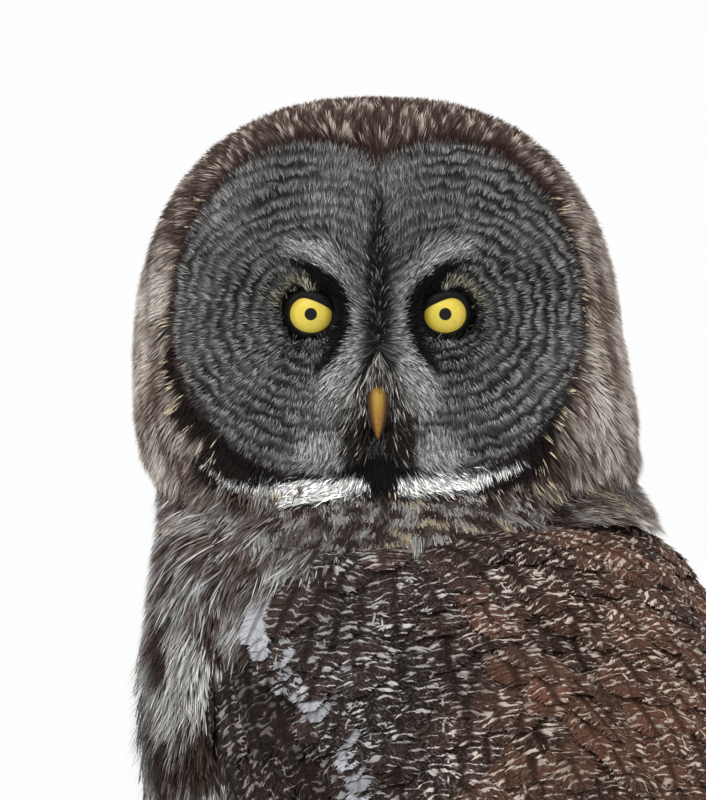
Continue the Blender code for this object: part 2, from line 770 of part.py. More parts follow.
def build_tail():
    """Twelve tail feathers in overlapping pairs, joined under the coverts at their root."""
    length = math.hypot(TAIL_TIP[0] - TAIL_ROOT[0], TAIL_TIP[1] - TAIL_ROOT[1])
    rings = []
    for share in (0.0, 0.2, 0.4, 0.6, 0.8, 1.0):
        along = TAIL_CORE_LENGTH * share
        half_width = TAIL_CORE_HALF_WIDTH * (1 - 0.3 * share)
        half_depth = TAIL_CORE_HALF_DEPTH * (1 - share) ** 0.8 + 0.0018
        ring = []
        for j in range(16):
            angle = 2 * math.pi * j / 16
            x, y = half_width * math.cos(angle), half_depth * math.sin(angle)
            point, _ = tail_place(along, x, 0.004 + y)
            ring.append(point)
        rings.append(ring)
    tail = loft("tail", rings, FLIGHT)
    room = room_for(tail, 0.0018)
    vanes = []
    for pair in range(TAIL_FEATHER_PAIRS):
        share = pair / (TAIL_FEATHER_PAIRS - 1)
        for side in (-1, 1):
            below = TAIL_LAYER * (pair + (side < 0 or pair > 0))
            reach = length - 1.01 * below
            middles, acrosses, normals, widths = [], [], [], []
            for t, wide in TAIL_OUTLINE:
                width = TAIL_FEATHER_WIDTH * wide * rng.uniform(0.98, 1.02)
                out = 0.004 + 0.011 * share + (0.0035 + TAIL_HALF_SPREAD * share) * t * 0.92
                if pair > 0:
                    out = max(out, width / 2 + 2 * GAP)
                along = TAIL_VANE_ROOT + (reach - TAIL_VANE_ROOT) * t
                point, up = tail_place(along, side * out, below)
                middles.append(point)
                acrosses.append(Vector((1.0, 0.0, 0.0)))
                normals.append(up)
                widths.append(width)
            vanes.append(strip("vane", middles, acrosses, normals, widths))
    join(tail, vanes, "MANIFOLD")
    return tail, room


def build_leg(side, name):
    """The feathered thigh and shank, down to the ankle."""
    rings = []
    for z, half_x, half_y, back in LEG_SECTIONS:
        ring = []
        for j in range(18):
            angle = 2 * math.pi * j / 18
            x = side * LEG_X + half_x * math.cos(angle)
            y = HEAD_Y + LEG_Y + back + half_y * math.sin(angle)
            ring.append(Vector((x, y, z)))
        rings.append(ring)
    return loft(name, rings)


def toe_frame(side, heading, length):
    """Where a toe starts, where it ends, and the level way it points."""
    turn = math.radians(heading)
    way = Vector((side * math.sin(turn), -math.cos(turn), 0.0))
    root = Vector((side * LEG_X, HEAD_Y + LEG_Y, FOOT_Z))
    end = root + way * length
    end.z = TOE_RADIUS * 0.70
    return root, end, way


def build_foot(side, name):
    """Four feathered toes and the ankle, flat where they rest on the floor."""
    ankle = []
    for z, radius in ANKLE_SECTIONS:
        ring = []
        for j in range(16):
            angle = 2 * math.pi * j / 16
            x = side * LEG_X + radius * math.cos(angle)
            ring.append(Vector((x, HEAD_Y + LEG_Y + radius * math.sin(angle), z)))
        ankle.append(ring)
    foot = loft(name, ankle)
    toes = []
    for _, heading, length in TOES:
        root, end, way = toe_frame(side, heading, length)
        across = Vector((-way.y, way.x, 0.0))
        rings = []
        for t, share in TOE_OUTLINE:
            middle = root.lerp(end, t) + Vector((0.0, 0.0, TOE_ARCH * math.sin(math.pi * t)))
            size = TOE_RADIUS * share
            ring = []
            for j in range(TOE_SIDES):
                angle = 2 * math.pi * (j + 0.5) / TOE_SIDES
                flat = across * size * math.cos(angle)
                ring.append(middle + flat + Vector((0.0, 0.0, size * 1.12 * math.sin(angle))))
            rings.append(ring)
        toes.append(loft("toe", rings))
    join(foot, toes)
    clear_of(foot, floor_cut)


def build_claws(side, label):
    """A curved black claw at the end of each toe."""
    for toe, heading, length in TOES:
        _, end, way = toe_frame(side, heading, length)
        across = Vector((-way.y, way.x, 0.0))
        size = 0.82 if toe == "hind" else 1.0
        start = end + way * GAP
        start.z += 0.0006
        rings = []
        for t in CLAW_STATIONS:
            rise = CLAW_LIFT - CLAW_CURL * t
            lean = CLAW_LIFT - CLAW_CURL * t / 2
            run = CLAW_LENGTH * size * t * 0.80
            middle = start + way * run * math.cos(lean) + Vector((0.0, 0.0, run * math.sin(lean)))
            up = Vector((0.0, 0.0, math.cos(rise))) - way * math.sin(rise)
            radius = CLAW_RADIUS * size * (1 - t) ** 0.7 + 0.00035
            if t == 0.0:
                up = Vector((0.0, 0.0, 1.0))
            ring = []
            for j in range(8):
                angle = 2 * math.pi * (j + 0.5) / 8
                flat = across * radius * 0.85 * math.cos(angle)
                ring.append(middle + flat + up * radius * math.sin(angle))
            rings.append(ring)
        lowest = min(p.z for ring in rings for p in ring)
        if lowest < GAP:
            for ring, t in zip(rings, CLAW_STATIONS, strict=True):
                for p in ring:
                    p.z += (GAP - lowest) * t
        claw = loft(f"claw_{label}_{toe}", rings, CLAW)
        claw.data.shade_smooth()


head = build_head()
head_room = room_for(head)
build_eyes(head)
build_bill(head)
neck = build_neck()
neck_room = room_for(neck)
clear_of(neck, head_room)
torso = build_torso()
torso_room = room_for(torso)
tail, tail_room = build_tail()
floor_cut = slab("floor_cut", (-0.3, -0.5, -0.1), (0.3, 0.5, 0.0))
clear_of(tail, torso_room, floor_cut)
wing_left = build_wing()
middle_cut = slab("middle_cut", (-0.3, -0.5, -0.1), (WING_MIDLINE_GAP, 0.5, 0.6))
clear_of(wing_left, torso_room, tail_room, middle_cut)
wing_right = mirrored(wing_left, "wing_right")
clear_of(wing_left, neck_room)
clear_of(wing_right, neck_room)
for side, label in ((1, "left"), (-1, "right")):
    leg = build_leg(side, f"leg_{label}")
    clear_of(leg, torso_room)
    build_foot(side, f"foot_{label}")
    build_claws(side, label)
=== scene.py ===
import math
from functools import partial

import bmesh
import bpy
import numpy as np
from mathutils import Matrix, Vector
from mathutils.bvhtree import BVHTree


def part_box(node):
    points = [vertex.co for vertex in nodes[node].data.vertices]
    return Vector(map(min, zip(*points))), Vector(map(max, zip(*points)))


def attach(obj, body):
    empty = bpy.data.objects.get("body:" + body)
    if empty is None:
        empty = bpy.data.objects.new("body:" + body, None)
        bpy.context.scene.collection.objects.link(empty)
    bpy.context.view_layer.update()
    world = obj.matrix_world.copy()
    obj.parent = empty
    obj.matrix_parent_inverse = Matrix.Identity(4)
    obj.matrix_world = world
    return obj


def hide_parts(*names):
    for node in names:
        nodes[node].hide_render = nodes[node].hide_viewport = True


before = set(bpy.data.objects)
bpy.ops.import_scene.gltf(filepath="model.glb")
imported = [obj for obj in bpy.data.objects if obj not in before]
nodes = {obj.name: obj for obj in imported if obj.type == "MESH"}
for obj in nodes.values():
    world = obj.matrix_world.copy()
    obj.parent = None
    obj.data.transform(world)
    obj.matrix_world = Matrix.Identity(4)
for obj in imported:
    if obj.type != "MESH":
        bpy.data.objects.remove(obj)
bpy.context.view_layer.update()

scene = bpy.context.scene

# The view. The photograph's framing, level and from far off, on a pale studio floor under one soft
# light. Face coordinates run right and up in the picture from the middle between the eyes.
UP = np.array((0.0, 0.0, 1.0))
PHOTO_HEIGHT = 0.280
CAMERA_DISTANCE = 6.0
CAMERA_REACH = 50.0
SENSOR_WIDTH = 36.0
AIM_RIGHT = -0.00875
AIM_RISE = -0.0300
SKY_WHITE = (0.98, 0.985, 0.985, 1.0)
KEY_SIZE = 1.6
KEY_POWER = 26.0
KEY_FORWARD = 1.3
KEY_LEFT = 0.5
KEY_ABOVE = 1.7
FLOOR_RADIUS = 3.0
FLOOR_CORNERS = 96
FLOOR_WHITE = (0.82, 0.83, 0.83)
FLOOR_ROUGHNESS = 0.8

eye_at = {side: np.array(sum(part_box(f"eye_{side}"), Vector()) / 2) for side in ("left", "right")}
face_middle = (eye_at["left"] + eye_at["right"]) / 2
image_right = eye_at["left"] - eye_at["right"]
EYE_SPREAD = np.linalg.norm(image_right) / 2
image_right = image_right / np.linalg.norm(image_right)
facing = np.array((image_right[1], -image_right[0], 0.0))


def aimed_thing(name, data, offset):
    """A camera or a light, put at an offset from the place the picture looks at and turned to it."""
    made = bpy.data.objects.new(name, data)
    made.location = face_middle + image_right * AIM_RIGHT + UP * AIM_RISE + offset
    made.rotation_euler = Vector(-offset).to_track_quat("-Z", "Y").to_euler()
    scene.collection.objects.link(made)
    return made


def opaque(colour):
    """A colour as shader sockets take it."""
    return tuple(colour) + (1.0,)


def plain_material(name, colour, roughness, specular=0.5):
    """A material of one colour, or one whose colour is linked in later."""
    made = bpy.data.materials.new(name)
    made.use_nodes = True
    surface = made.node_tree.nodes["Principled BSDF"]
    surface.inputs["Base Color"].default_value = opaque(colour)
    surface.inputs["Roughness"].default_value = roughness
    surface.inputs["Specular IOR Level"].default_value = specular
    return made


camera_data = bpy.data.cameras.new("photograph")
camera_data.lens = SENSOR_WIDTH * CAMERA_DISTANCE / PHOTO_HEIGHT
camera_data.clip_end = CAMERA_REACH
scene.camera = aimed_thing("photograph", camera_data, facing * CAMERA_DISTANCE)
scene.view_settings.view_transform = "Standard"

sky = bpy.data.worlds.new("pale sky")
sky.use_nodes = True
sky.node_tree.nodes["Background"].inputs["Color"].default_value = SKY_WHITE
scene.world = sky

key_data = bpy.data.lights.new("soft key", "AREA")
key_data.size = KEY_SIZE
key_data.energy = KEY_POWER
aimed_thing("soft key", key_data, facing * KEY_FORWARD - image_right * KEY_LEFT + UP * KEY_ABOVE)

bpy.ops.mesh.primitive_circle_add(vertices=FLOOR_CORNERS, radius=FLOOR_RADIUS, fill_type="NGON")
floor = bpy.context.object
floor.name = "studio_floor"
floor.data.materials.append(plain_material("pale floor", FLOOR_WHITE, FLOOR_ROUGHNESS))


# The skin. The bare bird under its coat: the CAD's flesh nodes fused into one even surface and drawn
# in by the coat's depth, smallest on the face and feet. It carries the coat's own ground colours,
# darkened to under half as painted shade for the gaps between its feathers.
FLESH = ("head", "neck", "torso", "leg_left", "leg_right", "foot_left", "foot_right")
WINGS = ("wing_left", "wing_right")
SKIN_CELL = 0.0034
SKIN_ROUNDS = 6
CARRIER_CELL = 0.0028
CARRIER_ROUNDS = 8
BODY_COAT = 0.0065
NECK_THINNER = 0.0025
FACE_COAT = 0.0022
EYE_COAT = 0.0008
LEG_COAT = 0.0030
FOOT_COAT = 0.0012
LOWEST_SKIN = 0.0006
BARE_EYE_ROOM = 14.0
SKIN_PAINTED_SHADE = 0.45

# How far behind the head's upright axis the body's middle lies, by height: the body leans back below.
HEAD_AXIS_Y = -0.1070
BODY_HEIGHTS = (0.05, 0.105, 0.165, 0.2, 0.235, 0.265, 0.3, 0.33)
BODY_MIDDLES = (0.222, 0.141, 0.075, 0.056, 0.043, 0.033, 0.021, 0.012)

# The ruff at the picture's right stands out further than the head under it, by height.
RUFF_HEIGHTS = (0.297, 0.3135, 0.3285, 0.3387, 0.3516, 0.371, 0.389)
RUFF_FULLNESS = (0.0, 0.0050, 0.0115, 0.0112, 0.0068, 0.003, 0.0)
RUFF_START = 64.0
RUFF_FULL = 80.0


def ease(low, high, x):
    """Runs smoothly from 0 at low to 1 at high, for arrays."""
    t = np.clip((x - low) / (high - low), 0.0, 1.0)
    return t * t * (3.0 - 2.0 * t)


def unit(vectors):
    """The same directions, each one long."""
    return vectors / np.maximum(np.linalg.norm(vectors, axis=-1, keepdims=True), 1e-9)


def tone(red, green, blue):
    """A colour given in display values of 0 to 255, as the shaders take it."""
    shares = np.array((red, green, blue)) / 255.0
    return np.where(shares <= 0.04045, shares / 12.92, ((shares + 0.055) / 1.055) ** 2.4)


def blend(first, second, share):
    """A value between two, by a share."""
    return first * (1.0 - share) + second * share


def mix(first, second, share):
    """Blends rows, such as colours or directions, by one share for each row."""
    return blend(first, second, np.asarray(share)[..., None])


DRIFT_WAVES = 7
DRIFT_FULL = 3.2
FULL_TURN = 6.28


def drift(points, scale, seed):
    """Slow, soft variation from -1 to 1 over a surface, with patches about scale across."""
    draw = np.random.default_rng(seed)
    total = np.zeros(points.shape[:-1])
    for _ in range(DRIFT_WAVES):
        wave = unit(draw.normal(size=points.shape[-1])) * draw.uniform(0.6, 1.5) * math.pi / scale
        total += np.sin(points @ wave + draw.uniform(0.0, FULL_TURN))
    return np.clip(total / DRIFT_FULL, -1.0, 1.0)


def face_places(points):
    """Right, up and forward of the middle between the eyes, in millimetres."""
    offsets = (points - face_middle) * 1000.0
    return offsets @ image_right, offsets[..., 2], offsets @ facing


def beside_eye(right):
    """How far out from the nearer eye's upright line, in millimetres."""
    return np.abs(right) - EYE_SPREAD * 1000.0


def array_of(collection, field, width, kind=np.float32):
    """A mesh's values as an array, with one row to each of its points, normals or loops."""
    found = np.empty(len(collection) * width, kind)
    collection.foreach_get(field, found)
    return found.reshape(-1, width) if width > 1 else found


def mark_points(mesh, name, values):
    """Keeps a number, a vector or, where there are four columns, a colour on each of a mesh's points."""
    values = np.asarray(values)
    width = values.shape[1] if values.ndim > 1 else 1
    kind, field = {1: ("FLOAT", "value"), 3: ("FLOAT_VECTOR", "vector"), 4: ("FLOAT_COLOR", "color")}[width]
    mesh.attributes.new(name, kind, "POINT").data.foreach_set(field, values.ravel())


def with_alpha(colours):
    """Colours with a fourth column that makes them opaque."""
    return np.column_stack((colours, np.ones(len(colours))))


def attribute_in(tree, name):
    """A node that reads what mark_points kept."""
    made = tree.nodes.new("ShaderNodeAttribute")
    made.attribute_name = name
    return made


SMOOTH_FACTOR = 0.5


class Carrier:
    """CAD nodes fused into one even surface, which skin and feathers are placed on."""

    def __init__(self, names, cell, rounds):
        points = []
        corners = []
        count = 0
        for name in names:
            mesh = nodes[name].data
            part = array_of(mesh.vertices, "co", 3)
            loops = array_of(mesh.loops, "vertex_index", 1, np.int32)
            points.append(part)
            corners.append(loops.reshape(-1, 3) + count)
            count += len(part)
        raw = bpy.data.meshes.new("raw form")
        raw.from_pydata(np.concatenate(points), [], np.concatenate(corners))
        thing = bpy.data.objects.new("raw form", raw)
        scene.collection.objects.link(thing)
        remesh = thing.modifiers.new("cells", "REMESH")
        remesh.mode = "VOXEL"
        remesh.voxel_size = cell
        smooth = thing.modifiers.new("even", "SMOOTH")
        smooth.factor = SMOOTH_FACTOR
        smooth.iterations = rounds
        depsgraph = bpy.context.evaluated_depsgraph_get()
        self.mesh = bpy.data.meshes.new_from_object(thing.evaluated_get(depsgraph))
        bpy.data.objects.remove(thing)
        bpy.data.meshes.remove(raw)
        self.points = array_of(self.mesh.vertices, "co", 3).astype(float)
        self.normals = array_of(self.mesh.vertex_normals, "vector", 3).astype(float)
        self.faces = array_of(self.mesh.loops, "vertex_index", 1, np.int32).reshape(-1, 4)
        self.face_normals = unit(self.normals[self.faces].mean(axis=1))
        self.tree = BVHTree.FromPolygons(self.points.tolist(), self.faces.tolist())

    def crossings(self):
        """Each square face's corners, and the cross of its diagonals: its way out and twice its area."""
        quads = self.points[self.faces]
        return quads, np.cross(quads[:, 2] - quads[:, 0], quads[:, 3] - quads[:, 1])

    def swell(self, amounts):
        """Pushes the surface out sideways, where the coat stands fuller than the body under it."""
        self.points = self.points + unit(self.normals * np.array((1.0, 1.0, 0.0))) * amounts[:, None]
        self.face_normals = unit(self.crossings()[1])
        self.tree = BVHTree.FromPolygons(self.points.tolist(), self.faces.tolist())

    def settle(self, points):
        """The nearest places on the surface, and the way out there."""
        places = np.empty_like(points)
        faces = np.empty(len(points), int)
        for i, point in enumerate(points.tolist()):
            place, _, face, _ = self.tree.find_nearest(point)
            places[i] = place
            faces[i] = face
        return places, self.face_normals[faces]

    def cast(self, points, way):
        """Where rays from points strike the surface, the way out there, and which of them strike."""
        places = np.zeros_like(points)
        faces = np.full(len(points), -1)
        for i, point in enumerate(points.tolist()):
            place, _, face, _ = self.tree.ray_cast(point, way)
            if place is not None:
                places[i] = place
                faces[i] = face
        return places, self.face_normals[faces], faces >= 0


def body_angle(points):
    """Degrees round the body's upright axis: 0 is the bird's left side and 90 its back."""
    middles = np.interp(points[..., 2], BODY_HEIGHTS, BODY_MIDDLES)
    return np.degrees(np.arctan2(points[..., 1] - HEAD_AXIS_Y - middles, points[..., 0]))


MANTLE_LEFT = tone(44, 32, 28)
MANTLE_WARM_LIT = tone(80, 52, 40)
HEAD_BROWN = tone(86, 70, 63)
NECK_GREY = tone(118, 110, 106)
BREAST_GREY = tone(150, 146, 142)
LEG_GREY = tone(158, 154, 150)
FACE_GREY = tone(96, 97, 99)
NEAR_BLACK = tone(20, 18, 18)


def ground_colour(points):
    """The coat's ground colour away from the face: brown head and back, greyer neck and belly."""
    right, _, _ = face_places(points)
    height = points[..., 2]
    back = ease(-0.2, 0.3, np.sin(np.radians(body_angle(points))))
    # Warmer and lighter brown towards the picture's right: painted warm light.
    warm_lit_share = np.clip(ease(-20.0, 75.0, right) + 0.25 * drift(points, 0.03, 5), 0.0, 1.0)
    mantle = mix(MANTLE_LEFT, MANTLE_WARM_LIT, warm_lit_share)
    body = mix(BREAST_GREY, mantle, back)
    neck = mix(NECK_GREY, mantle, ease(-10.0, 60.0, right) * back)
    colour = mix(body, neck, ease(0.290, 0.312, height))
    colour = mix(colour, HEAD_BROWN, ease(0.318, 0.345, height))
    return mix(colour, LEG_GREY, ease(0.125, 0.095, height) * (points[..., 1] < 0.02))


skin_form = Carrier(FLESH, SKIN_CELL, SKIN_ROUNDS)
skin_right, skin_rise, skin_forward = face_places(skin_form.points)
from_eyes = np.hypot(beside_eye(skin_right), skin_rise)
in_face = ease(12.0, 2.0, -skin_forward) * ease(62.0, 48.0, np.abs(skin_rise))
skin_height = skin_form.points[:, 2]
coat_depth = BODY_COAT - NECK_THINNER * ease(0.300, 0.330, skin_height)
coat_depth = blend(coat_depth, FACE_COAT, in_face)
coat_depth = np.where((from_eyes < BARE_EYE_ROOM - 1.0) & (skin_forward > -14.0), EYE_COAT, coat_depth)
coat_depth = blend(coat_depth, LEG_COAT, ease(0.120, 0.095, skin_height))
coat_depth = blend(coat_depth, FOOT_COAT, ease(0.034, 0.026, skin_height))
skin_mesh = skin_form.mesh
skin_points = skin_form.points - skin_form.normals * coat_depth[:, None]
skin_points[:, 2] = np.maximum(skin_points[:, 2], LOWEST_SKIN)
skin_mesh.vertices.foreach_set("co", skin_points.astype(np.float32).ravel())
skin_mesh.shade_smooth()
# The coat's ground colour darkened to under half: painted shade for the gaps in the coat.
skin_tint = mix(ground_colour(skin_form.points), FACE_GREY, in_face) * SKIN_PAINTED_SHADE
skin_tint = np.where((from_eyes < BARE_EYE_ROOM)[:, None], NEAR_BLACK, skin_tint)
mark_points(skin_mesh, "tint", with_alpha(skin_tint))
skin = bpy.data.objects.new("skin", skin_mesh)
scene.collection.objects.link(skin)
skin_material = plain_material("skin", FACE_GREY, 0.9, 0.1)
skin_tree = skin_material.node_tree
skin_tree.links.new(attribute_in(skin_tree, "tint").outputs["Color"],
                    skin_tree.nodes["Principled BSDF"].inputs["Base Color"])
skin_mesh.materials.clear()
skin_mesh.materials.append(skin_material)
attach(skin, "root")
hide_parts(*FLESH)

carrier = Carrier(FLESH + WINGS, CARRIER_CELL, CARRIER_ROUNDS)
carrier_right, _, _ = face_places(carrier.points)
ruff = np.interp(carrier.points[:, 2], RUFF_HEIGHTS, RUFF_FULLNESS)
carrier.swell(ruff * ease(RUFF_START, RUFF_FULL, carrier_right))


# The face. Thousands of fine barbs lie out from each eye over the two discs, ringed dark and pale;
# round them the black eye patches, pale crescents, grey lobes, black chin and white bands. Places
# and half widths are in millimetres, from the middle between the eyes.
FACE_GRID = 0.52
FACE_HALF_WIDE = 78.0
FACE_FOOT = -74.0
FACE_TOP = 64.0
RING_PITCH = 4.5
RING_STRETCH = 0.97
DISC_WIDE = 47.6
DISC_RISE = 60.0
DISC_DROP = 57.0
CRESCENT = ((29, 23), (20, 20.5), (12.5, 12.5), (9, 0), (9.8, -9), (12.4, -17.0), (15.2, -26), (17, -33))
CRESCENT_HALF = (3.0, 4.8, 4.2, 2.6, 4.0, 5.6, 6.2, 3.0)
CRESCENT_LIGHT = (0.95, 1.0, 0.80, 0.35, 0.45, 0.90, 1.0, 0.30)
EYE_PATCH = ((30, 18.5), (23, 15), (17, 9.5), (13.3, 3.5), (12.6, -3.5), (14.7, -10.5), (18.5, -16.5),
             (21, -20))
EYE_PATCH_HALF = (1.0, 2.4, 3.5, 3.0, 2.6, 2.1, 1.6, 0.5)
WHITE_BAND_LEFT = ((-8, -61.5), (-20, -63), (-31, -63.5), (-45, -62.0), (-54, -58.0), (-60, -52.5))
WHITE_BAND_RIGHT = ((11, -61), (28, -59.5), (43, -55.6), (52, -52))
BAND_HALF_LEFT = (4.2, 4.8, 4.6, 2.0, 0.6, 0.0)
BAND_HALF_RIGHT = (4.2, 3.2, 1.2, 0.0)
INNER_RISES = (-42, -30, -18, -6, 6, 18, 32, 60)
INNER_TURNS = (-74, -66, -52, 5, 56, 72, 82, 88)
BROW_TURN = 38.0
RING_LIGHT = tone(153, 151, 149)
CRESCENT_PALE = tone(194, 193, 191)
LOBE_PALE = tone(186, 185, 184)
BAND_WHITE = tone(250, 250, 248) * 1.3
STRIPE_DARK = tone(44, 41, 40)
WHISKER_DARK = tone(46, 40, 37)
RIM_BROWN = tone(54, 36, 31)
RIM_BLACK = tone(30, 21, 19)
LASH_BUFF = tone(190, 184, 158)


def from_path(x, z, path):
    """How far places are from a bent line, and how far along it they are, from 0 to 1."""
    best = np.full(x.shape, 1e9)
    share = np.zeros(x.shape)
    for i in range(len(path) - 1):
        (x0, z0), (x1, z1) = path[i], path[i + 1]
        run = np.hypot(x1 - x0, z1 - z0)
        t = np.clip(((x - x0) * (x1 - x0) + (z - z0) * (z1 - z0)) / run**2, 0.0, 1.0)
        away = np.hypot(x - x0 - (x1 - x0) * t, z - z0 - (z1 - z0) * t)
        share = np.where(away < best, (i + t) / (len(path) - 1), share)
        best = np.minimum(best, away)
    return best, share


def along_path(share, values):
    """What values spaced evenly along a line come to at a share of it."""
    return np.interp(share, np.linspace(0.0, 1.0, len(values)), values)


def disc_share(right, rise):
    """1 at the discs' edge, less inside it, about the nearer eye."""
    tall = np.where(rise > 0, DISC_RISE, DISC_DROP)
    return np.hypot(beside_eye(right) / DISC_WIDE, rise / tall)


def from_bands(right, rise):
    """How far places are from the white bands' middle line."""
    return np.minimum(from_path(right, rise, WHITE_BAND_LEFT)[0],
                      from_path(right, rise, WHITE_BAND_RIGHT)[0])


def face_marks(right, rise, draw):
    """The face's ground colour and how strongly it is ringed, at places in millimetres."""
    side = np.abs(right)
    count = len(right)
    loose = draw.normal(0.0, 1.0, count)
    from_eye = beside_eye(right)
    reach = np.hypot(from_eye, rise)
    edge = disc_share(right, rise)
    flat = np.column_stack((right, rise, np.zeros(count)))
    # The ringed ground, fainter at the brow.
    cloud = drift(flat, 16.0, 17)
    colour = RING_LIGHT * (0.86 + 0.16 * cloud)[:, None]
    ringed = ease(8.0, 13.0, reach) * np.clip(0.92 + 0.30 * drift(flat, 11.0, 18), 0.4, 1.0)
    ringed *= 1.0 - 0.45 * ease(26.0, 10.0, side) * ease(14.0, 26.0, rise)
    # The dark seam between the discs.
    stripe_half = 3.0 + 0.8 * ease(34.0, 12.0, rise) + 0.8 * loose
    stripe = ease(stripe_half + 2.0, stripe_half - 1.2, side) * ease(-30.0, -18.0, rise)
    stripe *= 0.35 + 0.65 * ease(44.0, 24.0, rise)
    colour = mix(colour, STRIPE_DARK, stripe)
    ringed *= 1.0 - stripe
    # The pale crescents between the eyes.
    away, share = from_path(side, rise, CRESCENT)
    broad = along_path(share, CRESCENT_HALF) + loose * 0.7
    crescent = ease(broad + 1.6, broad - 1.4, away) * along_path(share, CRESCENT_LIGHT)
    crescent *= 1.0 - 0.5 * (draw.random(count) < 0.16)
    colour = mix(colour, CRESCENT_PALE, crescent)
    ringed *= 1.0 - ease(broad + 2.6, broad, away)
    # The dark whiskers round the bill.
    whiskers = ease(8.5, 5.0, side + loose) * ease(-17.0, -25.0, rise) * ease(-62.0, -55.0, rise)
    whiskers = whiskers * np.where(draw.random(count) < 0.66, 1.0, 0.2)
    colour = mix(colour, WHISKER_DARK, whiskers)
    ringed *= 1.0 - whiskers
    # The grey lobes beside the bill's tip.
    lobe_x = np.where(right < 0, 18.5, 20.0)
    lobe = ease(1.15, 0.7, np.hypot((side - lobe_x) / 10.5, (rise + 48.5) / 8.5) + loose * 0.07)
    colour = mix(colour, LOBE_PALE, lobe * 0.9)
    ringed *= 1.0 - lobe
    # The buff tufts over the eyes.
    lash = ease(16.5, 13.5, reach + loose * 0.6) * ease(0.10, 0.45, rise / np.maximum(reach, 1.0))
    lash *= ease(-0.35, 0.1, from_eye / np.maximum(reach, 1.0))
    colour = mix(colour, LASH_BUFF, lash * 0.85)
    ringed *= 1.0 - lash
    # The black patches at the eyes' inner sides, and black round the lids.
    away, share = from_path(side, rise, EYE_PATCH)
    broad = along_path(share, EYE_PATCH_HALF) + loose * 0.55
    patch = ease(broad + 1.1, broad - 0.4, away)
    patch = np.maximum(patch, ease(8.2, 7.4, reach + loose * 0.3))
    colour = mix(colour, NEAR_BLACK, patch)
    ringed *= 1.0 - patch
    # The discs' dark edge, black below.
    rim = ease(0.985, 1.005, edge + loose * 0.012)
    low_rim = ease(0.955, 0.985, edge + loose * 0.006) * ease(-24.0, -36.0, rise)
    colour = mix(colour, RIM_BROWN, rim)
    colour = mix(colour, RIM_BLACK, low_rim)
    ringed *= 1.0 - np.maximum(rim, low_rim)
    # The black chin and, on either side of it, the white bands.
    chin = ease(12.5, 9.5, side + loose * 0.7) * ease(-47.0, -51.0, rise)
    colour = mix(colour, NEAR_BLACK * 0.7, chin)
    for path, halves in ((WHITE_BAND_LEFT, BAND_HALF_LEFT), (WHITE_BAND_RIGHT, BAND_HALF_RIGHT)):
        away, share = from_path(right, rise, path)
        thick = along_path(share, halves) + loose * 0.4
        band = ease(thick + 0.5, thick - 0.4, away)
        colour = mix(colour, BAND_WHITE, band)
        ringed *= 1.0 - band
    return colour, np.clip(ringed, 0.0, 1.0)


def face_way(right, rise):
    """Which way the face's barbs point, in the picture's right and up."""
    side = np.abs(right)
    out_x = beside_eye(right)
    reach = np.maximum(np.hypot(out_x, rise), 1e-6)
    way_x, way_z = out_x / reach, rise / reach
    turn = np.interp(rise, INNER_RISES, INNER_TURNS)
    brow = ease(9.0, 20.0, side) * ease(6.0, 14.0, rise)
    turn = np.radians(blend(turn, BROW_TURN, brow))
    away, share = from_path(side, rise, CRESCENT)
    broad = along_path(share, CRESCENT_HALF)
    inner = ease(15.0, 8.0, side) * ease(-44.0, -36.0, rise) * ease(62.0, 40.0, rise + side)
    inner = np.maximum(inner, ease(broad + 2.5, broad, away))
    inner = np.maximum(inner, ease(9.0, 3.0, side) * (rise > 0))
    way_x = blend(way_x, np.cos(turn), inner)
    way_z = blend(way_z, np.sin(turn), inner)
    low = ease(-42.0, -48.0, rise) * ease(34.0, 26.0, side)
    slope = np.clip(side / 17.0, 0.1, 1.6)
    way_x = blend(way_x, slope / np.hypot(slope, 1.0), low)
    way_z = blend(way_z, -1.0 / np.hypot(slope, 1.0), low)
    return way_x * np.sign(right + 1e-9), way_z


# How feathers and barbs are shaped, laid on the body and joined into one mesh.
def dots(a, b):
    """How much of each row of one lies along the same row of the other."""
    return np.sum(a * b, axis=-1)


def flat_on(ways, normals):
    """Directions laid flat on the surface."""
    return unit(ways - normals * dots(ways, normals)[..., None])


def straight(roots, normals, ways, lengths, stations):
    """Short centrelines that need not follow the surface's bend."""
    shares = np.linspace(0.0, 1.0, stations)[None, :, None]
    lines = roots[:, None] + ways[:, None] * (lengths[:, None, None] * shares)
    same = np.ones((1, stations, 1))
    return lines, normals[:, None] * same, ways[:, None] * same


def strand_shape(rungs):
    """One thin blade: rungs of (along, half width), then its tip."""
    places = []
    for along, half in rungs:
        places += [(-half, along, 0.0), (half, along, 0.0)]
    places.append((0.0, 1.0, 0.0))
    faces = []
    for i in range(len(rungs) - 1):
        a = 2 * i
        faces += [(a, a + 1, a + 3), (a, a + 3, a + 2)]
    last = 2 * len(rungs) - 2
    faces.append((last, last + 1, last + 2))
    return np.array(places), np.array(faces)


SINK_FADE = 1.3
RISE_GROWTH = 1.1


def feather_places(shape, lines, ups, alongs, widths, sink, rise, camber):
    """Every feather's vertices: the shape bent along its centreline, from a sunk root to a raised tip."""
    across, along, lift = shape[:, 0], shape[:, 1], shape[:, 2]
    stations = lines.shape[1]
    at = along * (stations - 1)
    low = np.clip(np.floor(at).astype(int), 0, stations - 2)
    share = (at - low)[None, :, None]
    centre, up, way = (blend(held[:, low], held[:, low + 1], share) for held in (lines, ups, alongs))
    up = unit(up)
    side = unit(np.cross(unit(way), up))
    wide = widths[:, None]
    reach = np.clip(along, 0.0, 1.0)
    height = (-sink[:, None] * (1 - reach) ** SINK_FADE + rise[:, None] * reach ** RISE_GROWTH
              - camber * wide * across ** 2 + lift * wide)
    return centre + side * (across * wide / 2)[..., None] + up * height[..., None]


# The unwrap's lower part holds the body by height, and its upper part the head by how far up or down
# from its middle a place is seen.
BODY_TURN_BACK = 0.03
BAKE_TOP = 0.5
HEAD_CENTRE = np.array((0.0, HEAD_AXIS_Y, 0.385))
HEAD_FROM = 0.340
HEAD_MID_LEVEL = 0.62
HEAD_LEVELS = 0.72


